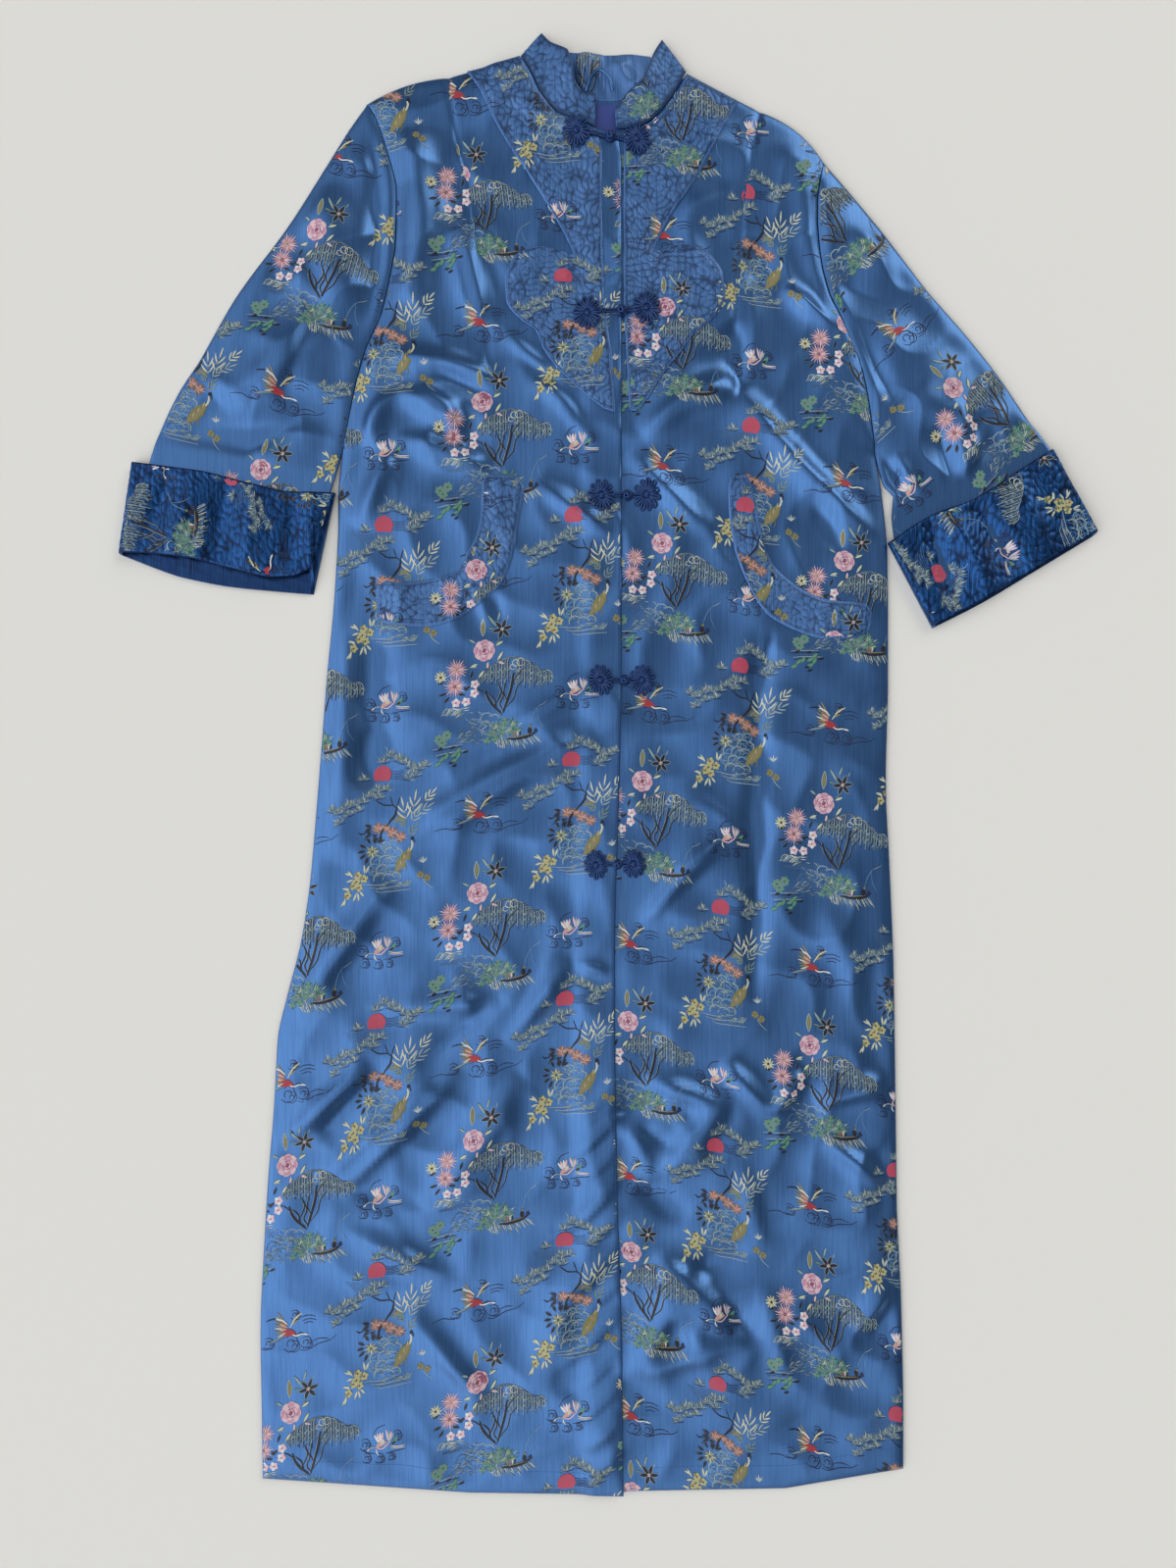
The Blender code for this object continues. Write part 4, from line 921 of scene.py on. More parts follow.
    def rays(self, x, y, first, last, count, length, width, colours, layer=0, start=0.0, bend=0.0):
        """Petals or needles that spread from one place, in each colour by turns."""
        for k in range(count):
            share = k / max(1, count - 1)
            angle = first + (last - first) * share
            reach = length * (1 - 0.16 * ((k * 7) % 3) / 2)
            foot_x = x + start * math.cos(math.radians(angle))
            foot_y = y + start * math.sin(math.radians(angle))
            self.leaf(foot_x, foot_y, angle, reach, width, colours[k % len(colours)], layer, bend, 3)

    def blossom(self, x, y, radius, petals, colours, middle, width=0.62, layer=0, turn=0.0):
        """A flower seen from the front."""
        for k in range(petals):
            angle = turn + 360 * k / petals
            spread = 2 * math.pi * radius / petals * width
            self.leaf(x, y, angle, radius, spread, colours[k % len(colours)], layer + 0.1 * (k % 2))
        self.disc(x, y, radius * 0.2, middle, layer + 2)

    def arc(self, x, y, radius, first, last, width, colour, layer=0):
        """A thread along part of a circle."""
        angle = np.radians(np.linspace(first, last, max(5, int(abs(last - first) / 40))))
        places = np.stack([x + radius * np.cos(angle), y + radius * np.sin(angle)], axis=1)
        self.stroke(places, width, colour, layer)

    def put(self, other, x, y, turn=0.0):
        """Another weave, moved to a place and turned."""
        angle = math.radians(turn)
        spin = np.array([[math.cos(angle), math.sin(angle)], [-math.sin(angle), math.cos(angle)]])
        self.add(other.points @ spin + (x, y), other.layers, other.triangles, other.colours)


def rose(fine):
    """A full rose: rings of cupped petals, light at the rims and dark between them."""
    made = Weave(fine)
    made.disc(0, 0, 9.6, "deep_pink", 0, 14)
    for ring, (radius, petals, size) in enumerate(((6.4, 8, 7.4), (3.9, 6, 5.6), (1.8, 4, 3.8))):
        for k in range(petals):
            angle = 360 * (k + 0.37 * ring) / petals
            x = radius * math.cos(math.radians(angle))
            y = radius * math.sin(math.radians(angle))
            colour = ("rose_pink", "pale_pink")[(k + ring) % 2]
            run = angle + 90
            half = size / 2
            start_x, start_y = x - half * math.cos(math.radians(run)), y - half * math.sin(math.radians(run))
            made.leaf(start_x, start_y, run, size, size * 0.52, colour, 2 + 1.8 * ring, -0.22)
            rim_x, rim_y = start_x * 1.22, start_y * 1.22
            made.leaf(rim_x, rim_y, run, size, 0.9, "pale_pink", 3.6 + 1.8 * ring, -0.22, 4)
    made.disc(0, 0, 1.1, "deep_pink", 8)
    return made


def chrysanthemum(fine, middle):
    """A shaggy round flower of two rings of narrow petals."""
    made = Weave(fine)
    made.disc(0, 0, 5.4, "deep_pink", 0, 12)
    made.rays(0, 0, 0, 342, 20, 9.2, 1.25, ("pale_pink", "peach", "rose_pink"), 1, 1.2)
    made.rays(0, 0, 12, 350, 11, 5.2, 1.1, ("pale_pink", "peach"), 3, 1.2)
    made.disc(0, 0, 1.7, middle, 5, 8)
    made.disc(0, 0, 0.8, "olive", 6, 6)
    return made


def star_lily(fine):
    """A dark lily of six pointed petals with pale rims and a cream throat."""
    made = Weave(fine)
    for k in range(6):
        made.leaf(0, 0, 12 + 60 * k, 9.6, 4.2, "silver", 0)
        made.leaf(0, 0, 12 + 60 * k, 9.2, 3.3, "black", 1.9)
    made.rays(0, 0, 42, 342, 6, 2.6, 0.8, ("cream", "pale_pink"), 5)
    made.leaf(4.6, 7.6, 78, 5, 0.8, "silver", 2)
    return made


def flower_group(fine):
    """The first group of the repeat, round its rose: flowers, a willow on a rock, a bush and a boat."""
    made = Weave(fine)
    # leaves round the rose
    made.leaf(-1.4, 13, 91, 16.5, 5.2, "silver", 0)
    made.leaf(-1.4, 14.2, 91, 14, 3.4, "olive", 1.8)
    made.leaf(-1.4, 16, 91, 9, 1.2, "gold", 3.6)
    for x, y, angle, length, width, colour in (
        (10.2, 22, 126, 12, 3, "silver"), (11.8, 26.6, 74, 9, 2.4, "silver"),
        (8.6, 19.4, 170, 5.5, 2.2, "sage"), (10.6, 4, 28, 7.4, 3.2, "cream"),
        (11, 4.6, 62, 5, 2, "sage"), (12.2, -9.6, 58, 9, 3.4, "cream"),
        (12.6, -10.8, -22, 6.4, 3.2, "pale_pink"), (-6.4, -12, 205, 7, 3.6, "cream"),
        (-6, -14.4, 182, 6.4, 2.4, "silver"), (-8.2, 7.2, 150, 6.6, 2.8, "silver"),
        (-0.2, -18.4, 232, 7.4, 3.4, "cream"), (3.6, -10.6, 262, 6, 3, "pale_pink"),
    ):
        made.outlined_leaf(x, y, angle, length, width * 0.8, colour, "deep_green", 0)
    for x, y, angle, length in (
        (-10, -18, 250, 7), (-34, -37, 195, 7.4), (-31.5, -40.5, 228, 6.8),
        (-17, -39.4, 170, 7), (-12, -31.5, 215, 6.6), (-36, -26, 205, 6), (-14.6, -35.6, 140, 5),
    ):
        made.outlined_leaf(x, y, angle, length, 2.6, "black", "slate", 0)
    made.put(star_lily(fine), 16.2, 18.8)
    made.put(chrysanthemum(fine, "peach"), -24.8, -16.3)
    made.put(chrysanthemum(fine, "deep_pink"), -26.4, -31.3, 7)
    made.blossom(-39.3, -22.3, 6, 11, ("cream", "yellow"), "black", 0.5, 1)
    made.put(rose(fine), 0, 0)
    for x, y in ((-8, -30.3), (-8.4, -38.5), (-25.1, -46.3), (-15.8, -45.8)):
        made.blossom(x, y, 4.3, 5, ("pale_pink", "white"), "deep_pink", 0.72, 1, 90 + 3 * x)
    # grass
    for k in range(7):
        made.stroke(
            ((-12 - 2.4 * k, -51 - 0.5 * k), (-20 - 2.4 * k, -52.2 + 0.2 * k), (-27 - 1.8 * k, -57.5)),
            0.9, ("silver", "white", "sage")[k % 3], 0.2 * k,
        )
    for k in range(3):
        made.stroke(((-8, -56 - 2 * k), (-20, -59.5 - 1.4 * k), (-33, -61 - 0.8 * k)), 0.6, "slate")
    # willow
    made.hatch(24, -22, 27, 7, 36, ("navy", "slate", "sage"), 265, 0)
    for line, width in (
        (((16.5, -58), (9.5, -51.5), (4, -43.5), (2, -36.5)), 2.2),
        (((9.5, -51.5), (13.5, -45), (16, -38), (13, -31)), 1.3),
        (((18.3, -58), (22.6, -44.5), (25.5, -34), (27, -22)), 2.4),
        (((21.6, -46.5), (18.4, -40), (19.4, -31)), 1.2),
        (((26.3, -30.5), (32, -22.5), (38, -17.5)), 1.2),
        (((3.2, -41), (-2.4, -36), (-6, -34.6)), 1), (((18.6, -56), (15, -50), (18, -42), (14, -34)), 1.3),
        (((17.6, -60), (12, -54), (10.6, -46), (5, -40)), 1.5),
        (((20, -54), (28, -45), (30, -36), (36, -29)), 1.1),
    ):
        made.stroke(line, width, "black", 3, crest=True)
        shifted = [(x - 0.6 * width, y) for x, y in line]
        made.stroke(shifted, 0.4, "silver", 2)
    for k in range(60):
        share = k / 59
        top_x = -1 + 60 * share
        top_y = -19 + 12 * math.sin(math.pi * min(1, share * 1.15)) - 9 * max(0, share - 0.72)
        length = (12 + 17 * math.sin(math.pi * share) ** 1.2) * (0.72 + 0.28 * ((k * 5) % 4) / 3)
        lean = 3.4 if share > 0.45 else -2.2
        foot = (top_x + lean, top_y - length)
        colour = ("navy", "slate", "sage", "navy", "silver")[k % 5]
        places = ((top_x - 1.5 * lean, top_y - 1), (top_x, top_y), (top_x + lean, top_y - 4), foot)
        made.stroke(places, 0.8, colour, k % 4)
        for step in range(1 + k % 2):
            drop = (0.4 + 0.32 * step) * length
            angle = 238 + 64 * ((k + step) % 2)
            colour = ("silver", "sage", "sage")[(k + step) % 3]
            made.leaf(top_x + lean, top_y - drop, angle, 4.2, 0.9, colour, k % 4 + 1, 0, 3)
    for x, y, radius in ((29, -13, 3.2), (33.6, -12.4, 3.6), (26, -16.5, 2.6)):
        made.arc(x, y, radius, 20, 330, 0.7, "cream", 5)
    # rocks
    made.hatch(1, -66, 14, 8, 34, ("silver", "slate", "ice", "sage"), 160)
    made.hatch(-12, -79, 13, 8, 34, ("slate", "sage", "silver"), 20)
    made.hatch(-20, -56, 13, 3.5, 14, ("sage", "silver", "cream"), 200)
    for x, y, radius, first, last, colour in (
        (3.4, -62.6, 5.8, 20, 210, "silver"), (10.4, -64, 5, 10, 150, "silver"),
        (-6.6, -67.4, 5.6, 40, 220, "slate"),
        (-14.2, -72.6, 6.2, 50, 230, "slate"), (2.4, -68.8, 4.6, -20, 190, "silver"),
        (-5, -75.2, 5.4, 0, 190, "slate"),
        (-11.4, -80.6, 6.4, 20, 200, "slate"), (-19, -84.6, 6, 30, 210, "slate"),
        (5.6, -75.4, 6.6, 60, 200, "silver"),
    ):
        made.arc(x, y, radius, first, last, 1, colour)
        made.arc(x + 1, y - 1.4, radius * 0.6, first, last, 0.7, "slate", 1)
    # lotus and its leaves
    for x, y in ((-39.4, -78.8), (-32.4, -75.4), (-36.8, -81.8)):
        made.blossom(x, y, 4.8, 7, ("green", "sage"), "deep_green", 0.8, 1, 20 * x)
    for k, (x, y) in enumerate((
        (-43, -103), (-38.5, -99.4), (-33.5, -97.6), (-28.5, -95.4), (-24, -92.4), (-22.8, -97.6),
        (-28, -100.6),
    )):
        made.outlined_leaf(x, y, 28 + 18 * (k % 3), 6.6, 3.4, "green", "deep_green", k % 2)
    for x, y in ((-30, -101.5), (-17.5, -92.5), (-27, -104.5), (-40.5, -88.5), (-29.4, -88)):
        made.leaf(x, y, 20, 5, 2.4, "black", 2)
    for k in range(6):
        y = -86 - 1.9 * k
        colour = ("slate", "silver", "navy")[k % 3]
        made.stroke(((-46 + k, y), (-34, y + 1.6), (-20 + 1.5 * k, y + 3.4)), 0.7, colour)
    # bush
    for x, y, radius in (
        (8, -77, 5), (4.6, -83, 4.2), (12.5, -70, 5.2), (20, -66.5, 5.4), (28.5, -69.5, 5.2),
        (32, -75.5, 4.2),
        (12, -81.5, 4.6), (18, -74.5, 5.6), (25.5, -76, 4.8),
    ):
        made.rays(x, y, 0, 330, 12, radius, 1.3, ("green", "deep_green", "green", "sage"), 0.5)
    made.rays(17, -80, 20, 170, 14, 13.5, 0.9, ("sage", "green", "silver"), 3, 2.5)
    made.hatch(19, -75, 16, 8, 44, ("green", "deep_green", "sage", "green", "cream"), 60, 2.5)
    made.hatch(27, -85, 17, 4, 16, ("cream", "sage"), 285, 1.5)
    # feathery fronds under it
    for k in range(20):
        x = 11 + 2 * k
        y = -80 - 0.06 * k
        reach = 9.5 - 0.18 * k + 1.6 * (k % 2)
        colour = ("cream", "silver", "sage")[k % 3]
        made.stroke(((x, y), (x + 2.4, y - 0.45 * reach), (x + 3.6 + 0.1 * k, y - reach)), 0.8, colour, 1)
    # boat, its load and the rod
    made.stroke(((22.5, -82.4), (31, -83.2), (42, -81.6), (50.5, -77)), 2.6, "black", 3, crest=True)
    made.stroke(((24.5, -80.6), (34, -81), (45, -79.4)), 0.8, "gold", 5)
    for k in range(4):
        made.leaf(28 + 2.1 * k, -80.8, 86, 4.8, 1.7, ("olive", "orange", "cream", "black")[k], 5, 0, 3)
    made.leaf(43.6, -79.8, 96, 6.4, 4.2, "black", 5)
    made.leaf(47.6, -79, 70, 4.6, 3.4, "navy", 5)
    made.disc(43.8, -72.6, 1.3, "olive", 7, 7)
    made.stroke(((43.5, -72), (45.6, -64), (48.5, -57.5), (51, -54.6)), 0.55, "ice", 4)
    made.stroke(((51, -54.6), (54.8, -52.8), (58.5, -50)), 0.5, "silver", 4)
    made.stroke(((49.5, -56.5), (50.8, -66), (56, -74.5)), 0.4, "ice", 3)
    return made


def pine_fan(made, x, y, turn, size):
    """One fan of pine needles, flat below and spread above."""
    made.rays(x, y, turn + 8, turn + 172, 11, size, 0.85, ("silver", "sage", "slate", "sage"), 1, 0.8)
    made.stroke(((x - size * 0.9, y + 0.6), (x, y - 0.9), (x + size * 0.9, y + 0.6)), 0.8, "navy", 0)


def bamboo_spray(made, x, y, angle, length, colour):
    """A spray of narrow bamboo leaves, in pairs along a stem with one at its tip."""
    run_x, run_y = math.cos(math.radians(angle)), math.sin(math.radians(angle))
    for k in range(2):
        way = length * (0.10 + 0.27 * k)
        reach = length * (0.54 - 0.06 * k)
        for aside in (-1, 1):
            turned = angle + aside * (36 - 6 * k)
            made.leaf(x + way * run_x, y + way * run_y, turned, reach, 1.5, colour, 2, 0.06 * aside, 5)
    made.leaf(x + 0.6 * length * run_x, y + 0.6 * length * run_y, angle, length * 0.5, 1.5, colour, 2, 0, 5)
    made.stroke(((x, y), (x + 0.7 * length * run_x, y + 0.7 * length * run_y)), 0.5, "sage", 1)


def sun_group(fine):
    """The second group of the repeat, round its sun: pines, a twig, bamboo, flowers, a rock and a bird."""
    made = Weave(fine)
    # the sun, set behind flat water
    sides, shares = 16, (0.2, 0.4, 0.6, 0.8, 1)
    angle = np.radians(np.linspace(-44, 216, sides + 1))
    rim = np.stack([8.4 * np.cos(angle), 8.4 * np.sin(angle) - 0.6], axis=1)
    foot = np.array([-0.2, -6])
    points = np.concatenate([[foot]] + [foot + (rim - foot) * share for share in shares])
    triangles = [(0, 1 + k, 2 + k) for k in range(sides)]
    for ring in range(len(shares) - 1):
        for k in range(sides):
            a = 1 + ring * (sides + 1) + k
            b = a + sides + 1
            triangles += [(a, b, b + 1), (a, b + 1, a + 1)]
    coral = np.full(len(triangles), THREAD_NAMES.index("coral"))
    made.add(points, np.full(len(points), 5.0), triangles, coral)
    for k in range(6):
        made.stroke(((-30 + 2 * k, -6 - 2.2 * k), (-18, -8.2 - 2 * k), (-6, -6.6 - 1.8 * k)), 0.5, "slate")
        made.stroke(((7, 3.2 - 1.5 * k), (13, 1.6 - 1.4 * k), (20, 2.8 - 1.5 * k)), 0.5, "navy")
    # pines
    for x, y, turn, size in (
        (-17, -4.6, 8, 6),
        (1, 10.6, 20, 6.8), (8, 15, 4, 8), (14.5, 11, -8, 7), (20, 8.4, 0, 6.4),
        (27, 3.4, -10, 6.6), (34, 1.8, 6, 6.4), (40, 4.4, 10, 6), (24, -6.6, -20, 7), (31, -4, 12, 6),
        (-3, -15.6, 10, 7.6), (4, -15, -10, 6.6), (-9.5, -20, 16, 6.4), (-2, -22, 10, 6.2),
        (-17, -25, 8, 7), (-25, -27, 14, 7), (-20, -32, 30, 6.4), (-32, -29, 16, 6.4),
        (-38, -33, 26, 6.6), (-44, -31, 10, 6), (-29, -35.4, 36, 6), (-37, -42, 40, 6),
    ):
        pine_fan(made, x, y, turn, size)
        made.hatch(x, y + 0.3 * size, 0.7 * size, 0.35 * size, 4, ("sage", "silver", "cream"), 90 + turn, 2)
    # twig
    for line, width in (
        (((-5.2, -23.2), (3, -28.6), (11, -29), (14.6, -32.4)), 1.2),
        (((14.6, -32.4), (13.6, -38), (7.2, -46)), 2.2),
        (((14.6, -32.4), (15.2, -28), (17, -22.6)), 1), (((11, -29), (9.4, -25), (8, -21)), 0.9),
        (((7.2, -46), (2, -52), (-1, -60)), 2),
    ):
        made.stroke(line, width, "black", 3, crest=True)
    # bamboo
    for x, y, angle, length, colour in (
        (24.5, -44, 106, 21, "cream"), (29.5, -40, 84, 22, "cream"), (34, -38.5, 30, 17, "silver"),
        (40, -28, 48, 15, "cream"), (29, -46, 58, 15, "silver"), (27, -58, 52, 14, "sage"),
        (24, -50, 130, 10, "sage"),
    ):
        bamboo_spray(made, x, y, angle, length, colour)
    # orange flowers
    for x, y, radius in ((-2, -49, 6.4), (11.4, -54, 6.8), (19.6, -58.4, 6.4), (5.4, -49.5, 4.6)):
        made.rays(x, y, 0, 346, 22, radius, 1, ("orange", "peach", "orange", "olive"), 2)
        made.rays(x, y, 8, 330, 9, radius * 0.55, 1, ("peach", "orange"), 4)
    made.rays(18, -44, -10, 190, 11, 6.8, 1.2, ("olive", "sage", "gold"), 1)
    # black leaves and the flower in them
    for x, y, angle in (
        (-8, -47, 165), (-8.4, -49, 200), (-8.5, -53.5, 215), (-2.5, -57, 250), (2, -57, 230),
        (4, -60, 200),
        (-13, -66, 150), (-13.5, -69, 185), (-13, -72, 215), (-10.5, -75, 245), (-9, -62.5, 120),
        (-6, -62, 75),
    ):
        made.outlined_leaf(x, y, angle, 6.4, 2.8, "black", "slate", 1)
    made.rays(-7, -70, 0, 345, 16, 6.6, 1.3, ("cream", "olive", "yellow", "sage"), 3)
    made.disc(-7, -70, 1.3, "deep_green", 5, 7)
    # rock and water
    made.hatch(9, -71, 11, 8, 34, ("silver", "ice", "slate", "sage"), 155)
    made.hatch(6, -87, 14, 11, 48, ("silver", "slate", "ice", "sage"), 25)
    made.hatch(8, -101, 22, 4, 18, ("silver", "sage"), 5)
    made.hatch(-8, -52, 6, 5, 10, ("black", "navy"), 200, 0, 1.6)
    for x, y, radius, first, last in (
        (5.6, -66.6, 4.6, 0, 200), (13.4, -66, 5, -30, 170), (9.6, -72.4, 5.2, 10, 200),
        (17, -73, 4.2, -60, 120),
        (-2.6, -79.6, 6, 40, 230), (5.6, -80.4, 6.4, 10, 200), (13.2, -81, 5.6, -10, 190),
        (-4.4, -86.6, 5.6, 60, 260),
        (2.8, -88.4, 6, 30, 210), (10.6, -89.2, 6, 0, 190), (16.8, -87.4, 4.4, -40, 150),
        (0.6, -95.4, 5.6, 30, 200),
        (8.6, -96.8, 5.6, 10, 180), (15.2, -95, 4.8, -20, 160),
    ):
        made.arc(x, y, radius, first, last, 1.1, ("ice", "silver", "silver")[int(x + 50) % 3], 1)
        made.arc(x + 0.6, y - 1.2, radius * 0.62, first, last, 0.8, ("slate", "ice")[int(x + 50) % 2], 2)
        made.arc(x - 1.4, y + 2, radius * 0.8, first + 40, last + 30, 0.7, "sage", 0)
    for k in range(5):
        places = ((-14 + 3 * k, -99 - 1.6 * k), (2, -100.5 - 1.7 * k), (18 + 3 * k, -97.5 - 2.4 * k))
        made.stroke(places, 0.7, ("silver", "slate")[k % 2])
    # the yellow bird
    made.outlined_leaf(15, -90, 54, 23, 8.4, "gold", "olive", 3)
    for k in range(9):
        colour = ("gold", "olive", "yellow")[k % 3]
        made.leaf(16.6 + 1.2 * k, -88.6 + 1.9 * k, 92 - 8 * (k % 3), 5.4, 1.3, colour, 6, 0, 4)
    made.stroke(((28.4, -72), (30.6, -67), (29.6, -62.6)), 2, "cream", 5, crest=True)
    made.disc(30.4, -60.6, 1.7, "black", 6)
    made.leaf(31.4, -60.6, -70, 4.6, 1, "black", 6)
    for x, y in ((17, -88), (24, -84)):
        made.stroke(((x, y), (x + 1.4, y - 4), (x - 0.6, y - 7.6)), 0.7, "olive", 4)
    # yellow blossoms with cream leaves
    for x, y, angle, length in (
        (-24, -92, 128, 8), (-25, -90, 160, 7), (-24, -94, 195, 6), (-13, -89, 98, 7.5), (-12, -89, 70, 7),
        (-27, -102, 175, 6.5), (-27, -104, 145, 6), (-30, -111, 235, 7.5), (-30.5, -110, 262, 7),
        (-20, -106, 250, 8), (-19, -106, 282, 7.5), (-17, -105, 312, 6),
    ):
        made.outlined_leaf(x, y, angle, length, 2, "cream", "sage", 0)
    for k, (x, y) in enumerate((
        (-19.6, -90.6), (-13.6, -94), (-23.4, -99.6), (-18, -101.4), (-28.4, -107.6), (-20.6, -96),
    )):
        made.disc(x, y, 3.6, "deep_green", 1)
        made.blossom(x, y, 3.9, 5, ("yellow", "yellow", "gold"), "black", 0.7, 3, 17 * k)
    # small flowers and grass by the water
    made.rays(40.3, -84, 40, 150, 7, 6.4, 0.8, ("silver", "white"), 1)
    for x, y in ((38.2, -94.5), (44.4, -98)):
        made.blossom(x, y, 3.8, 7, ("gold", "olive"), "deep_green", 0.6, 2)
    made.stroke(((40, -98), (44, -103.5), (50, -108)), 0.7, "silver", 1)
    made.rays(27, -104, 60, 170, 7, 7, 0.8, ("silver", "sage"), 1)
    return made


def clouds(made, spirals, lines):
    """Cloud scrolls of dark thread."""
    for x, y, radius in spirals:
        for size, first, last in ((1, -150, 130), (0.5, -40, 220)):
            made.arc(x, y, radius * size, first, last, 0.85, "navy", 0)
            made.arc(x + 0.5 * radius, y - 0.4 * radius, radius * size * 0.7, first, last, 0.7, "navy", 0)
    for line in lines:
        made.stroke(line, 0.8, "navy", 0)


def red_crane(fine):
    """A crane in flight over cloud scrolls."""
    made = Weave(fine)
    clouds(
        made,
        ((0.5, -12.6, 7.2), (15, -13, 5.2), (-20.5, -9.6, 5), (5, 13, 4.6)),
        (
            ((9.8, -19), (16, -20), (27, -15.6), (38, -13.8), (44, -9.8)),
            ((20.5, -13), (28, -11), (36, -12.4)),
            ((-41, -15), (-31, -13), (-22, -15), (-16, -12.6)),
            ((10, 10), (18, 11.4), (25, 9.6)),
            ((12, 6.4), (19, 8), (25.8, 6)),
            ((13, 3.6), (18, 5.2), (22, 4)),
        ),
    )
    # wings
    for k in range(8):
        angle = 200 - 11 * k
        colour = ("cream", "gold", "olive")[k % 3]
        made.leaf(-2.6, -2.2 + 0.9 * k, angle, 9.5 + 0.9 * k, 1.7, colour, 1 + 0.2 * k)
    for k in range(5):
        colour = ("orange", "peach")[k % 2]
        made.leaf(-2.4, -0.6 + k, 190 - 13 * k, 6.4 + 0.6 * k, 1.8, colour, 4 + 0.2 * k)
    made.stroke(((-2, 5), (-7, 9.6), (-13, 11.2)), 1.4, "white", 6)
    made.stroke(((-10, 10.6), (-16, 11.6), (-22, 10.4)), 1.1, "black", 6)
    for k in range(5):
        colour = ("gold", "black", "cream")[k % 3]
        made.leaf(1 + 1.2 * k, 4 + 1.9 * k, 30 + 4 * k, 8 - 0.7 * k, 2, colour, 2)
    made.stroke(((0.5, 2), (5, 9), (12, 14.2)), 1.3, "cream", 4)
    # body, neck and tail
    made.leaf(-5.8, -0.4, -28, 13.5, 5, "crimson", 6, 0.1)
    made.leaf(-6.4, -4.4, -2, 10.5, 3.6, "crimson", 7, 0.05)
    made.stroke(((2.4, -4.6), (6, -6.4), (10.4, -5.2), (14, -5.8)), 1.3, "white", 8, crest=True)
    made.stroke(((6.4, -5.4), (9.4, -4), (12, -4.4)), 0.8, "black", 9)
    made.leaf(12.6, -5.2, -12, 5, 1.5, "white", 9)
    for k in range(3):
        places = ((-5.6, -5 - 0.7 * k), (-12, -7 - 0.9 * k), (-19.5 - k, -9.4 - 0.5 * k))
        made.stroke(places, 0.7, ("silver", "sage", "slate")[k], 4)
    return made


def pink_crane(fine):
    """A smaller crane that turns the other way."""
    made = Weave(fine)
    clouds(
        made,
        ((-16, 0, 5.2), (-14, -11.5, 4.2), (-2, -13, 4.6), (9, -13.4, 3.6), (14, 5, 4.4)),
        (
            ((4, -9.6), (12, -8.6), (22, -8)),
            ((-19, -4), (-14, -7), (-6, -8.4)),
            ((-9, 7), (-4, 14), (3, 16)),
        ),
    )
    for k in range(4):
        made.leaf(-2.6 + 0.8 * k, 0.6 + 0.2 * k, 122 - 13 * k, 8.6, 2.2, ("white", "pale_pink")[k % 2], 2)
        made.leaf(6.4 + 0.4 * k, 1.2, 104 - 14 * k, 10.5 - k, 1.9, ("pale_pink", "silver")[k % 2], 2)
    made.leaf(-5.4, -3.6, 24, 11, 4.6, "peach", 4, 0.1)
    made.stroke(((-4.6, -3.4), (1, -4.6), (8, 1.2)), 1.2, "pale_pink", 6)
    made.leaf(-0.4, -1, 60, 5.4, 2.8, "cream", 6)
    made.leaf(9.6, -2.6, 52, 8, 3.6, "green", 2)
    made.leaf(9, -2, 30, 4.6, 2.2, "black", 4)
    for k in range(3):
        places = ((8.6, -2.8 - k), (14, -4.4 - 0.6 * k), (21.6, -4.4 - 0.8 * k))
        made.stroke(places, 0.8, ("white", "sage", "pale_pink")[k], 3)
    made.stroke(((-5.4, -3.2), (-9.4, -2.6), (-13.2, -5)), 1, "silver", 5)
    made.leaf(-11, -3.6, 214, 3.4, 1.2, "white", 6)
    made.stroke(((-4.8, -4.4), (-4.6, -7.4), (-2.8, -9.6)), 1.2, "white", 4)
    return made


def whole_repeat(fine):
    """Everything that one repeat of the pattern holds."""
    made = Weave(fine)
    made.put(flower_group(fine), 0, 0)
    made.put(sun_group(fine), *SUN_PLACE)
    made.put(red_crane(fine), *RED_CRANE_PLACE)
    made.put(pink_crane(fine), *PINK_CRANE_PLACE)
    return made


def new_node(tree, kind, fed=(), values=(), **settings):
    """A node with its settings, the sockets that feed its inputs and the values of other inputs."""
    made = tree.nodes.new(kind)
    for name, setting in settings.items():
        setattr(made, name, setting)
    for title, source in dict(fed).items():
        tree.links.new(source, made.inputs[title])
    for title, value in dict(values).items():
        made.inputs[title].default_value = value
    return made


def new_object(name, data):
    """An object in the scene for a mesh, a light or the camera."""
    made = bpy.data.objects.new(name, data)
    bpy.context.scene.collection.objects.link(made)
    return made


def new_material(name, colour, roughness, **values):
    """A material whose shader has its inputs set by name."""
    made = bpy.data.materials.new(name)
    made.use_nodes = True
    shader = made.node_tree.nodes["Principled BSDF"]
    for title, value in {"Base_Color": (*colour, 1), "Roughness": roughness, **values}.items():
        shader.inputs[title.replace("_", " ")].default_value = value
    return made, shader


def noise(tree, scale, turn=0.0, **values):
    """Noise on object coordinates that are turned and scaled."""
    place = new_node(tree, "ShaderNodeTexCoord").outputs["Object"]
    mapping = {"Rotation": (0, 0, math.radians(turn)), "Scale": scale}
    place = new_node(tree, "ShaderNodeMapping", {"Vector": place}, mapping).outputs["Vector"]
    return new_node(tree, "ShaderNodeTexNoise", {"Vector": place}, {"Scale": 1.0, **values}).outputs["Fac"]


def ramp_between(tree, factor, low, high, start, end):
    """A colour that runs from one to another as the factor goes from start to end."""
    made = new_node(tree, "ShaderNodeValToRGB", {"Fac": factor})
    for stop, position, colour in zip(made.color_ramp.elements, (start, end), (low, high)):
        stop.position = position
        stop.color = (*colour, 1)
    return made.outputs["Color"]


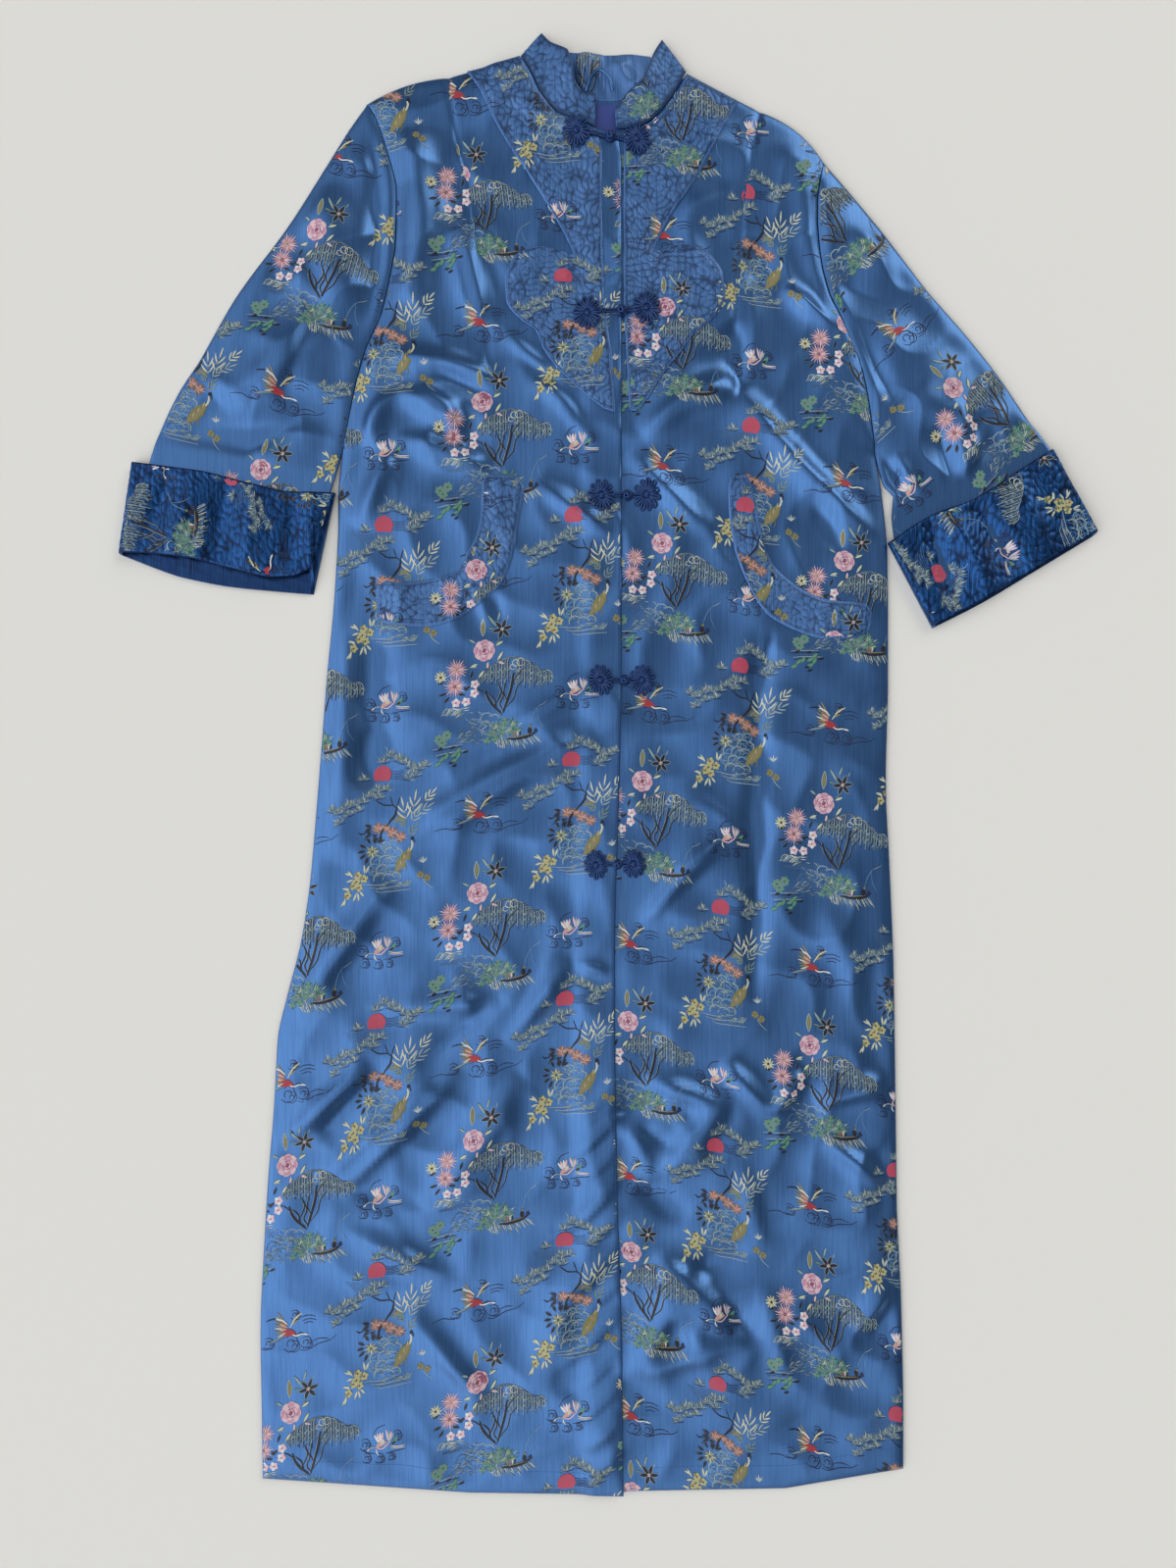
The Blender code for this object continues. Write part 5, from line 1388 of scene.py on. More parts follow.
def raised(tree, height, depth, strength, below=None):
    """A bump from a height, on top of another one."""
    fed = {"Height": height} if below is None else {"Height": height, "Normal": below}
    return new_node(tree, "ShaderNodeBump", fed, {"Strength": strength, "Distance": depth}).outputs["Normal"]


def satin(name, light, deep, turn, finish=SATIN_FINISH, quilted=False):
    """Satin: a cloudy colour with fine streaks along the warp, a thread bump and a soft sheen."""
    roughness, glow = finish
    made, shader = new_material(
        name, light, roughness, Metallic=glow, Sheen_Weight=SHEEN, Sheen_Roughness=0.4, Sheen_Tint=SATIN_SHEEN
    )
    tree = made.node_tree
    streaks = noise(tree, WARP_STREAKS, turn, Detail=2.0, Roughness=0.5)
    colour = ramp_between(tree, streaks, deep, light, 0.30, 0.60)
    # Painted shade: quilted satin is darkened towards the deep colour where it puffs up least, in the hollows
    # along its stitch lines
    if quilted:
        puff_shade = new_node(tree, "ShaderNodeAttribute", attribute_name="puff_shade").outputs["Fac"]
        share = ramp_between(tree, puff_shade, (0, 0, 0), (1, 1, 1), 0.05, 0.75)
        painted_hollow_shade = (*[HOLLOW_SHADE * part for part in deep], 1)
        colour = new_node(
            tree, "ShaderNodeMix", {"Factor": share, "B": colour}, {"A": painted_hollow_shade}, data_type="RGBA"
        ).outputs["Result"]
    threads = noise(tree, FINE_THREADS, turn, Detail=1.0)
    normal = raised(tree, threads, 0.0002, 0.12, raised(tree, streaks, 0.0003, 0.08))
    tree.links.new(colour, shader.inputs["Base Color"])
    tree.links.new(normal, shader.inputs["Normal"])
    return made


def plain_cloth(name, light, deep, grain, roughness, glow=0.0):
    """Cloth with a plain weave: a slightly uneven colour and a fine bump."""
    made, shader = new_material(
        name, light, roughness, Metallic=glow, Sheen_Weight=SHEEN, Sheen_Tint=CLOTH_SHEEN
    )
    tree = made.node_tree
    weave = noise(tree, (grain, grain, grain), Detail=2.0)
    tree.links.new(ramp_between(tree, weave, deep, light, 0.3, 0.6), shader.inputs["Base Color"])
    tree.links.new(raised(tree, weave, 0.0003, 0.4), shader.inputs["Normal"])
    return made


THREAD_MATERIALS = {}


def make_thread_materials():
    """A material for each colour of thread in the pattern."""
    for name, colour in THREADS.items():
        THREAD_MATERIALS[name], _ = new_material(
            "thread_" + name, colour, 0.5, Sheen_Weight=0.15, Specular_IOR_Level=0.35
        )


def set_puff_shade(made, values):
    """Keeps how far each point of a quilted piece is puffed up, for the painted shade in its hollows."""
    attribute = made.data.attributes.new("puff_shade", "FLOAT", "POINT")
    padded = np.full(len(made.data.vertices), FLAT_PUFF_SHADE)
    padded[: values.size] = values.ravel()
    attribute.data.foreach_set("value", padded)


def new_piece(name, points, faces, materials, upwards=None):
    """One piece from points in millimetres. The first faces, so many as upwards, look up."""
    mesh = bpy.data.meshes.new(name)
    mesh.from_pydata(np.asarray(points, float) * MM, [], faces)
    mesh.update()
    if upwards:
        heights = [mesh.polygons[k].normal.z for k in range(0, upwards, max(1, upwards // 200))]
        if sum(heights) < 0:
            mesh.flip_normals()
    mesh.shade_smooth()
    mesh.set_sharp_from_angle(angle=math.radians(SHARP_FOLD))
    for material in materials:
        mesh.materials.append(material)
    made = new_object(name, mesh)
    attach(made, "root")
    return made


def grid_faces(rows, across, first=0, closed=False):
    """Quads of a grid of points, closed round its rows where asked."""
    index = first + np.arange(rows * across).reshape(rows, across)
    if closed:
        index = np.concatenate([index, index[:, :1]], axis=1)
    quads = np.stack([index[:-1, :-1], index[:-1, 1:], index[1:, 1:], index[1:, :-1]], axis=-1)
    return [tuple(quad) for quad in quads.reshape(-1, 4).tolist()]


def rim_of(rows, across):
    """The border of a grid, right round it."""
    rim = list(range(across))
    rim += [i * across + across - 1 for i in range(1, rows)]
    rim += [(rows - 1) * across + j for j in range(across - 2, -1, -1)]
    rim += [i * across for i in range(rows - 2, 0, -1)]
    return rim


def inward_of(outline, reach=1):
    """The direction from each point of a closed outline towards its inside."""
    run = np.roll(outline, -reach, axis=0) - np.roll(outline, reach, axis=0)
    area = (outline[:, 0] * np.roll(outline[:, 1], -1) - outline[:, 1] * np.roll(outline[:, 0], -1)).sum()
    inward = np.stack([-run[:, 1], run[:, 0]], axis=1) * np.sign(area)
    return inward / np.maximum(np.linalg.norm(inward, axis=1, keepdims=True), 1e-6)


def turned_sheet(name, plan, upper, thickness, materials, turn=TURN_UNDER):
    """A layer of cloth over a plan grid, with its edge rolled down and turned under."""
    rows, across = plan.shape[:2]
    grid = np.concatenate([plan, upper[..., None]], axis=2).reshape(-1, 3)
    faces = grid_faces(rows, across)
    top_faces = len(faces)
    rim = rim_of(rows, across)
    edge = grid[rim]
    inward = inward_of(edge[:, :2], 2)
    grid[rim, :2] += inward * EDGE_ROUND
    rings = [rim]
    points = [grid]
    count = len(grid)
    for inset, drop in ((0.0, EDGE_DIP), (0.0, 1.0), (turn, 1.0)):
        ring = edge.copy()
        ring[:, :2] += inward * inset
        ring[:, 2] -= drop * thickness
        points.append(ring)
        rings.append(list(range(count, count + len(rim))))
        count += len(rim)
    for upper_ring, lower_ring in zip(rings, rings[1:]):
        for k in range(len(rim)):
            after = (k + 1) % len(rim)
            faces.append((upper_ring[after], upper_ring[k], lower_ring[k], lower_ring[after]))
    return new_piece(name, np.concatenate(points), faces, materials, top_faces)


def ring_round(upper_plan, lower_plan, upper, lower):
    """Points right round a flattened tube: over its upper layer, round a fold, and back under it."""
    over = np.concatenate([upper_plan, upper[..., None]], axis=2)
    under = np.concatenate([lower_plan, lower[..., None]], axis=2)
    across = upper_plan[:, -1] - upper_plan[:, 0]
    outward = across / np.linalg.norm(across, axis=1, keepdims=True)

    def fold(start, end, way):
        made = []
        for share in SIDE_ARC:
            spot = start * (1 - share) + end * share
            spot[:, :2] += way * SIDE_BULGE * math.sin(math.pi * share)
            made.append(spot[:, None])
        return made

    parts = [over, *fold(over[:, -1], under[:, -1], outward), under[:, ::-1]]
    parts += fold(under[:, 0], over[:, 0], -outward)
    return np.concatenate(parts, axis=1)


def flattened_tube(name, upper_plan, lower_plan, upper, lower, materials, thickness=0.0):
    """A flattened tube. With a thickness it has an inside of its own, in the second material."""
    outer = ring_round(upper_plan, lower_plan, upper, lower)
    rows, around = outer.shape[:2]
    faces = grid_faces(rows, around, closed=True)
    upper_faces = upper_plan.shape[1] - 1
    points = [outer.reshape(-1, 3)]
    outside = len(faces)
    if thickness:
        def shrunk(plan):
            across = plan[:, -1] - plan[:, 0]
            unit = across / np.linalg.norm(across, axis=1, keepdims=True)
            share = np.linspace(1, -1, plan.shape[1])[None, :, None]
            return plan + unit[:, None] * share * (thickness + SIDE_BULGE)

        inner = ring_round(shrunk(upper_plan), shrunk(lower_plan), upper - thickness, lower + thickness)
        points.append(inner.reshape(-1, 3))
        first = rows * around
        faces += [face[::-1] for face in grid_faces(rows, around, first, closed=True)]
        for row, flip in ((0, False), (rows - 1, True)):
            for k in range(around):
                a, b = row * around + k, row * around + (k + 1) % around
                quad = (b, a, first + a, first + b)
                faces.append(quad[::-1] if flip else quad)
    made = new_piece(name, np.concatenate(points), faces, materials, upper_faces)
    if thickness:
        for face in made.data.polygons[outside : 2 * outside]:
            face.material_index = 1
    return made


def front_plan(table, spacing, side_shares, centre_shares):
    """The plan grid of a front, with a column of points on its dart."""
    rows = smooth_rows(table, spacing)
    side, dart, edge, bow = rows[:, 0:2], rows[:, 2:4], rows[:, 4:6], rows[:, 6]
    beside = ruled(side, dart, side_shares, bow)
    before = ruled(dart, edge, centre_shares)
    return np.concatenate([beside, before[:, 1:]], axis=1)


def coarse_plan(table):
    """The plan grid of a front as its solid has it."""
    return front_plan(table, ROW_SPACING, SIDE_SHARES, CENTRE_SHARES)


def fine_plan(table):
    """The plan grid of a front as it is dressed."""
    side_shares = np.linspace(0, 1, FINE["side_columns"])
    return front_plan(table, FINE["front_rows"], side_shares, np.linspace(0, 1, FINE["centre_columns"]))


def armhole(plan):
    """The points of the armhole on a front, from the shoulder to the underarm."""
    outer = plan[:, 0]
    return outer[: int(np.argmin(np.abs(outer[:, 1] - UNDERARM_Y))) + 1]


def every_second(points):
    """Every second point, with the first and the last one kept."""
    kept = list(range(0, len(points), 2))
    if kept[-1] != len(points) - 1:
        kept.append(len(points) - 1)
    return points[kept]


class FrontTop:
    """How high a front lies, with its folds, its dart and, on the right one, its lap."""

    def __init__(self, table, armhole_height, laps):
        plan = coarse_plan(table)
        arm = armhole(plan)
        self.edge = plan[:, -1]
        neck = self.edge[: 2 + int(np.argmin(np.abs(self.edge[:, 1] - NECK_CORNER_Y)))]
        self.lie = Lie(
            (arm, armhole_height),
            (plan[len(arm) - 1 :, 0], EDGE_TOP),
            (plan[-1], EDGE_TOP),
            (plan[0], SHOULDER_TOP),
            (neck, NECK_TOP),
        )
        dart = plan[:, len(SIDE_SHARES) - 1]
        self.dart = dart[dart[:, 1] > DART_END_Y]
        self.laps = laps

    def __call__(self, x, y):
        top = self.lie(x, y)
        if self.laps:
            edge_x = np.interp(-y, -self.edge[:, 1], self.edge[:, 0])
            into = np.clip((x - edge_x + LAP_START) / (LAP_START - LAP_END), 0, 1)
            top = top + LAP_RISE * into * into * (3 - 2 * into) + folds_at(x, y, PLACKET_FOLDS)
        off = distances(x, y, self.dart).min(axis=-1)
        top = top - DART_DEPTH * np.exp(-((off / DART_HALF_WIDTH) ** 2))
        return np.maximum(top, LOWEST_FRONT)


def into_cuff(grid, turn):
    """0 on the free sleeve, 1 where it lies inside the cuff, below the cuff's turned edge."""
    line = along(turn, 24)
    x, y = grid[..., 0], grid[..., 1]
    off = distances(x, y, line)
    nearest = off.argmin(axis=-1)
    start, run = line[:-1][nearest], np.diff(line, axis=0)[nearest]
    side = run[..., 0] * (y - start[..., 1]) - run[..., 1] * (x - start[..., 0])
    inward = off.min(axis=-1) * np.where(side * np.sign(line[-1, 0] - line[0, 0]) < 0, 1, -1)
    step = np.clip((inward + CUFF_APPROACH) / (CUFF_APPROACH - CUFF_CLEAR), 0, 1)
    return step * step * (3 - 2 * step)


def make_sleeve(name, front, table, outer, inner, end, turn, armhole_height, outward, material):
    """A sleeve: a flattened tube from the armhole into the cuff."""
    coarse_arm = armhole(coarse_plan(table)) + np.array([outward * SEAM_GAP, 0])
    arm = armhole(front) + np.array([outward * SEAM_GAP, 0])
    outer_line = along(outer, FINE["sleeve_rows"])
    inner_line = along(inner, FINE["sleeve_rows"])
    outer_line[0], inner_line[0] = arm[0], arm[-1]

    def plan(points):
        return coons(points, along(end, len(points)), outer_line, inner_line)

    lie = Lie((coarse_arm, armhole_height), (along(outer, 12), EDGE_TOP), (along(inner, 12), EDGE_TOP))
    over, under = plan(arm), plan(every_second(arm))
    tucked = into_cuff(over, turn)
    free = lie(over[..., 0], over[..., 1])
    upper = free * (1 - tucked) + (CUFF_FLOOR + SLEEVE_END_HEIGHT) * tucked
    lower = CUFF_FLOOR * into_cuff(under, turn) + back_underside(under[..., 0], under[..., 1])
    made = flattened_tube(name + "_cloth", over, under, upper, lower, [material])
    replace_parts(made, name)
    return made, over, under


def cuff_plan(turn, mouth, count):
    """The plan grid of one layer of a cuff, from its turned edge to its mouth."""
    first = along((turn[0], mouth[0]), FINE["cuff_rows"])
    last = along((turn[-1], mouth[-1]), FINE["cuff_rows"])
    return coons(along(turn, count), along(mouth, count), first, last)


def make_cuff(name, turn, upper_mouth, lower_mouth, stretch, materials):
    """A deep quilted cuff round the end of the sleeve, with a plain satin facing inside."""
    over = cuff_plan(turn, upper_mouth, FINE["cuff_columns"])
    under = cuff_plan(turn, lower_mouth, FINE["cuff_under_columns"])
    x, y = over[..., 0], over[..., 1]
    share = np.linspace(0, 1, over.shape[1])[None, :]
    crown = CUFF_CROWN * np.sin(math.pi * share) ** 0.5
    turns = 2 * math.pi * CUFF_RIPPLES * share + CUFF_RIPPLE_START
    waves = CUFF_RIPPLE * np.sin(turns) * np.sin(math.pi * share)
    down = np.linspace(0, 1, over.shape[0])[:, None]
    calm = np.minimum(1, 60 * down * (1 - down))
    puffed = puffs(x, y, stretch) * calm
    upper = CUFF_TOP + crown + waves + folds_at(x, y, CUFF_FOLDS) + CUFF_PUFF * puffed
    lower = CUFF_LIFT + CUFF_UNDER_PUFF * (1 - puffs(under[..., 0], under[..., 1], stretch))
    made = flattened_tube(name + "_cloth", over, under, upper, lower, materials, CUFF_WALL)
    around = over.shape[1] + under.shape[1] + 2 * len(SIDE_ARC)
    # How puffed each point is sets its painted shade; the folded sides get a fixed amount
    values = np.full((over.shape[0], around), CUFF_SIDE_PUFF_SHADE)
    values[:, : over.shape[1]] = puffed
    set_puff_shade(made, values)
    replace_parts(made, name)
    return made, over, under


def make_quilted_piece(name, table, under, material):
    """A quilted piece that is sewn on a front: puffs between wandering stitch lines, flat along its edge."""
    rows = smooth_rows(table, FINE["quilted"])
    width = np.linalg.norm(rows[:, 0:2] - rows[:, 2:4], axis=1)[:, None]
    shares = np.linspace(0, 1, int(width.max() / FINE["quilted"]))
    plan = ruled(rows[:, 0:2], rows[:, 2:4], shares)
    x, y = plan[..., 0], plan[..., 1]
    way = np.concatenate([[0], np.cumsum(np.linalg.norm(np.diff(plan[:, len(shares) // 2], axis=0), axis=1))])
    from_side = width * np.minimum(shares, 1 - shares)[None, :]
    from_edge = np.minimum(from_side, np.minimum(way, way[-1] - way)[:, None])
    inside = 1 - np.exp(-((from_edge / QUILT_EDGE) ** 2))
    rim = RIM_HEIGHT * np.exp(-(((from_edge - RIM_MIDDLE) / RIM_WIDTH) ** 2))
    puffed = inside * puffs(x, y)
    upper = under(x, y) + GAP + QUILTED - QUILT_SINK + QUILT_SINK * inside + PUFF_HEIGHT * puffed + rim
    made = turned_sheet(name + "_cloth", plan, upper, QUILTED - QUILT_SINK, [material], QUILT_TURN)
    # How puffed each point is sets its painted shade; flat cloth near the edge gets a fixed amount
    set_puff_shade(made, np.maximum(puffed, FLAT_PUFF_SHADE * (inside < 0.3)))
    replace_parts(made, name)
    return made, plan


def make_collar_piece(name, table, under, material):
    """One stretch of the stand collar, quilted, rolled over along its free edge."""
    rows = smooth_rows(table, FINE["quilted"])
    seam, free = rows[:, 0:2], rows[:, 3:5]
    if under is None:
        seam = seam + np.array([0, SEAM_GAP])
    width = np.linalg.norm(seam - free, axis=1)[:, None]
    shares = np.linspace(0, 1, int(width.max() / FINE["quilted"]))
    plan = ruled(seam, free, shares)
    x, y = plan[..., 0], plan[..., 1]
    share = shares[None, :]
    upper = rows[:, 2:3] * (1 - share) + rows[:, 5:6] * share
    if under is not None:
        upper = np.maximum(upper, under(x, y) + GAP + SATIN)
    from_side = width * np.minimum(shares, 1 - shares)[None, :]
    inside = 1 - np.exp(-((from_side / QUILT_EDGE) ** 2))
    puffed = inside * puffs(x, y)
    if under is None:
        puffed = puffed * BACK_COLLAR_PUFF
        free = np.minimum(1, 6 * share * (1.1 - share))
        upper = upper + np.maximum(folds_at(x, y, COLLAR_FOLDS), COLLAR_DEEPEST) * free
    upper = upper + COLLAR_PUFF * PUFF_HEIGHT * puffed
    made = turned_sheet(name + "_cloth", plan, upper, SATIN, [material], COLLAR_TURN)
    # How puffed each point is sets its painted shade; the back collar gets at least a fixed amount
    set_puff_shade(made, np.maximum(puffed, FLAT_PUFF_SHADE if under is None else 0.0))
    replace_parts(made, name)
    return made, plan


def make_back(right_plan, left_plan, material):
    """The whole back, a flat wall under the fronts with shallow creases on its underside."""
    rows, across = FINE["back_rows"], FINE["back_columns"]
    collar = smooth_rows(COLLAR_BACK, COLLAR_SPACING)[:, 0:2]
    shoulders = np.concatenate([
        right_plan[0], [BACK_NECK_RIGHT], collar[::-1], [BACK_NECK_LEFT], left_plan[0][::-1],
    ])
    front_edge = right_plan[-1, -1, 0]
    hem = np.concatenate([right_plan[-1], [spot for spot in left_plan[-1, ::-1] if spot[0] > front_edge + 1]])
    top, bottom = straight_along(shoulders, across), straight_along(hem, across)
    first, last = straight_along(right_plan[:, 0], rows), straight_along(left_plan[:, 0], rows)
    plan = coons(top, bottom, first, last)
    upper = np.full(plan.shape[:2], BACK_TOP)
    lower = back_underside(plan[..., 0], plan[..., 1])
    points = [np.concatenate([plan, z[..., None]], axis=2).reshape(-1, 3) for z in (upper, lower)]
    count = rows * across
    faces = grid_faces(rows, across)
    upwards = len(faces)
    faces += [face[::-1] for face in grid_faces(rows, across, count)]
    rim = rim_of(rows, across)
    faces += [(b, a, count + a, count + b) for a, b in zip(rim, rim[1:] + rim[:1])]
    made = new_piece("back_cloth", np.concatenate(points), faces, [material], upwards)
    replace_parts(made, "back")
    return made, plan


def make_lining(material):
    """The strip of lining inside the back of the neck."""
    top = along(NECK_LINING[:4], 30)
    bottom = along((NECK_LINING[5], NECK_LINING[4]), 30)
    first = along((NECK_LINING[0], NECK_LINING[6], NECK_LINING[5]), 24)
    last = along((NECK_LINING[3], NECK_LINING[4]), 24)
    plan = coons(top, bottom, first, last)
    ripples = LINING_RIPPLE * RIPPLES(2 * plan[..., 0], plan[..., 1])
    upper = BACK_TOP + GAP + LINING + ripples + LINING_LIFT
    made = turned_sheet("neck_lining_cloth", plan, upper, LINING_SHEET, [material], LINING_TURN)
    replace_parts(made, "neck_lining")
    return made


def back_underside(x, y):
    """How high the underside of the back lies: on the ground, with shallow creases and ripples."""
    creases = UNDER_CREASE * (1 - np.exp(-np.abs(CREASES(x, y) / UNDER_CREASE_WIDTH)))
    return UNDER_LIFT + creases + UNDER_RIPPLE * (RIPPLES(x, y) + 2)


def straight_along(points, count):
    """Evenly spaced points on the straight stretches between the given ones."""
    points = np.asarray(points, float)
    way = np.concatenate([[0], np.cumsum(np.linalg.norm(np.diff(points, axis=0), axis=1))])
    wanted = np.linspace(0, way[-1], count)
    return np.stack([np.interp(wanted, way, points[:, k]) for k in range(points.shape[1])], axis=1)


class Ground:
    """The top of pieces that are already made, for what lies on them."""

    def __init__(self, *pieces, below=False):
        """below: the underside of the pieces, met from under them."""
        self.start, self.way = (-RAY_START, 1) if below else (RAY_START, -1)
        self.trees = []
        for piece in pieces:
            points = np.empty(3 * len(piece.data.vertices))
            piece.data.vertices.foreach_get("co", points)
            faces = [tuple(face.vertices) for face in piece.data.polygons]
            self.trees.append(BVHTree.FromPolygons((points.reshape(-1, 3) / MM).tolist(), faces))

    def __call__(self, x, y):
        way = Vector((0, 0, self.way))
        found = np.full(x.size, MISSED * self.way)
        for k, (px, py) in enumerate(zip(x.ravel(), y.ravel())):
            for tree in self.trees:
                hit = tree.ray_cast(Vector((px, py, self.start)), way)[0]
                if hit is not None and (hit.z - found[k]) * self.way < 0:
                    found[k] = hit.z
        return found.reshape(x.shape)


def turned_grain(x, y, turn, mirrored=False):
    """Where the pattern's threads come to lie when its rose is at a place and the whole is turned."""
    angle = math.radians(turn)

    def place(points):
        across = -points[:, 0] if mirrored else points[:, 0]
        down = points[:, 1]
        return np.stack([
            x + across * math.cos(angle) - down * math.sin(angle),
            y + across * math.sin(angle) + down * math.cos(angle),
        ], axis=1)

    return place


def front_grain(rows, squeeze, dart, intake, side):
    """Where the pattern lies on a front: down its bent grain, drawn together where the dart takes it in."""
    steps = (FIRST_REPEAT - np.arange(len(rows))) * REPEAT_DOWN
    line = smooth_rows(np.concatenate([np.asarray(rows, float), steps[:, None]], axis=1), 20.0)
    down = -line[:, 3]
    dart = dart[np.argsort(dart[:, 1])]
    start, end = DART_TAKES_IN

    def place(points):
        at = -points[:, 1]
        tilt = np.radians(np.interp(at, down, line[:, 2]))
        across = points[:, 0] * squeeze
        x = np.interp(at, down, line[:, 0]) + across * np.cos(tilt)
        y = np.interp(at, down, line[:, 1]) + across * np.sin(tilt)
        taken = intake * np.clip((y - start) / (end - start), 0, 1)
        past = side * (x - np.interp(y, dart[:, 1], dart[:, 0]))
        beyond = past > taken
        swallowed = (past > 0) & ~beyond & (y > start)
        x = np.where(swallowed, np.nan, x - side * taken * beyond)
        return np.stack([x, y - taken * beyond], axis=1)

    return place


def lies_inside(points, outline):
    """Which points lie inside a closed outline."""
    x, y = points[:, 0], points[:, 1]
    odd = np.zeros(len(points), bool)
    for (start_x, start_y), (end_x, end_y) in zip(outline, np.roll(outline, -1, axis=0)):
        if start_y == end_y:
            continue
        crosses = (start_y > y) != (end_y > y)
        odd ^= crosses & (x < (end_x - start_x) * (y - start_y) / (end_y - start_y) + start_x)
    return odd


def outline_of(plan, step=3):
    """The outline of a plan grid, as one closed line."""
    rows, across = plan.shape[:2]
    rim = plan.reshape(-1, 2)[rim_of(rows, across)]
    corners = {0, across - 1, across - 1 + rows - 1, 2 * across + rows - 3}
    return rim[[k for k in range(len(rim)) if k % step == 0 or k in corners]]


def drawn_in(outline, inset):
    """An outline moved inwards a little."""
    return outline + inset * inward_of(outline)


def weave_on(name, cloth, repeat, place, outline, covers=(), below=False):
    """The pattern over one piece of cloth, cut off at its outline and left out under what covers it."""
    low, high = outline.min(axis=0), outline.max(axis=0)
    spots, layers, faces, colours = [], [], [], []
    count = 0
    for i in range(1 - REPEATS, REPEATS):
        for j in range(-REPEATS, REPEATS + 1):
            shift = np.array([i * REPEAT_ACROSS, j * REPEAT_DOWN])
            middle = place(shift[None] + REPEAT_MIDDLE)[0]
            if np.any(middle < low - REPEAT_REACH) or np.any(middle > high + REPEAT_REACH):
                continue
            points = place(repeat.points + shift)
            kept = lies_inside(points, outline)
            hidden = np.zeros(len(points), bool)
            for cover in covers:
                hidden |= lies_inside(points, cover)
            triangles = repeat.triangles
            shown = kept[triangles].all(axis=1) & ~hidden[triangles].all(axis=1)
            used, new = np.unique(triangles[shown], return_inverse=True)
            if not len(used):
                continue
            spots.append(points[used])
            layers.append(repeat.layers[used])
            faces.append(new.reshape(-1, 3) + count)
            colours.append(repeat.colours[shown])
            count += len(used)
    spots, layers = np.concatenate(spots), np.concatenate(layers)
    faces, colours = np.concatenate(faces), np.concatenate(colours)
    on_cloth = Ground(cloth, below=below)
    heights = on_cloth(spots[:, 0], spots[:, 1])
    met = (np.abs(heights) < MISSED)[faces].all(axis=1)
    faces, colours = faces[met], colours[met]
    rise = THREAD_LIFT + THREAD_LAYER * layers
    fall = UNDER_THREAD_LIFT + 0.2 * THREAD_LAYER * layers
    heights = heights - fall if below else heights + rise
    a, b, c = (spots[faces[:, k]] for k in range(3))
    area = (b[:, 0] - a[:, 0]) * (c[:, 1] - a[:, 1]) - (c[:, 0] - a[:, 0]) * (b[:, 1] - a[:, 1])
    wrong = area > 0 if below else area < 0
    faces[wrong] = faces[wrong][:, ::-1]
    used, colours = np.unique(colours, return_inverse=True)
    materials = [THREAD_MATERIALS[THREAD_NAMES[k]] for k in used]
    points = np.concatenate([spots, np.maximum(heights, LOWEST_THREAD)[:, None]], axis=1)
    kept, faces = np.unique(faces, return_inverse=True)
    made = new_piece(name, points[kept], faces.reshape(-1, 3).tolist(), materials)
    made.data.polygons.foreach_set("material_index", colours.astype(np.int32).ravel())
    return made


def new_tree(name, sizes):
    """An empty tree of geometry nodes with a mesh of lines, sizes and a material as its inputs."""
    tree = bpy.data.node_groups.new(name, "GeometryNodeTree")
    for title, kind in (("Lines", "Geometry"), *[(size, "Float") for size in sizes], ("Thread", "Material")):
        tree.interface.new_socket(title, in_out="INPUT", socket_type="NodeSocket" + kind)
    tree.interface.new_socket("Piece", in_out="OUTPUT", socket_type="NodeSocketGeometry")
    inputs = new_node(tree, "NodeGroupInput").outputs
    curve = new_node(tree, "GeometryNodeMeshToCurve", {"Mesh": inputs["Lines"]}).outputs["Curve"]
    return tree, inputs, curve


def finish_tree(tree, inputs, geometry):
    """The end of a tree: real meshes, smooth, in their material."""
    for kind, fed in (
        ("GeometryNodeRealizeInstances", {}), ("GeometryNodeSetShadeSmooth", {}),
        ("GeometryNodeSetMaterial", {"Material": inputs["Thread"]}),
    ):
        geometry = new_node(tree, kind, {"Geometry": geometry, **fed}).outputs["Geometry"]
    new_node(tree, "NodeGroupOutput", {"Piece": geometry})
    return tree


def stitch_tree():
    """Evenly spaced stitches along lines."""
    tree, inputs, curve = new_tree("stitches", ("Stitch pitch", "Stitch length", "Thread radius"))
    spaced = new_node(
        tree, "GeometryNodeResampleCurve", {"Curve": curve, "Length": inputs["Stitch pitch"]}, mode="LENGTH"
    )
    stitch = new_node(tree, "GeometryNodeMeshIcoSphere", values={"Radius": 1.0, "Subdivisions": 1})
    half = new_node(tree, "ShaderNodeMath", {0: inputs["Stitch length"]}, {1: 0.5}, operation="MULTIPLY")
    size = new_node(tree, "ShaderNodeCombineXYZ", {
        "X": half.outputs["Value"], "Y": inputs["Thread radius"], "Z": inputs["Thread radius"],
    })
    tangent = new_node(tree, "GeometryNodeInputTangent").outputs["Tangent"]
    turned = new_node(tree, "FunctionNodeAlignRotationToVector", {"Vector": tangent}, axis="X")
    placed = new_node(tree, "GeometryNodeInstanceOnPoints", {
        "Points": spaced.outputs["Curve"], "Instance": stitch.outputs["Mesh"],
        "Rotation": turned.outputs["Rotation"], "Scale": size.outputs["Vector"],
    })
    return finish_tree(tree, inputs, placed.outputs["Instances"])


def cord_tree():
    """A round cord along lines."""
    tree, inputs, curve = new_tree("cords", ("Cord radius",))
    profile = new_node(
        tree, "GeometryNodeCurvePrimitiveCircle", {"Radius": inputs["Cord radius"]},
        {"Resolution": CORD_SIDES},
    )
    fed = {"Curve": curve, "Profile Curve": profile.outputs["Curve"]}
    swept = new_node(tree, "GeometryNodeCurveToMesh", fed, {"Fill Caps": True})
    return finish_tree(tree, inputs, swept.outputs["Mesh"])


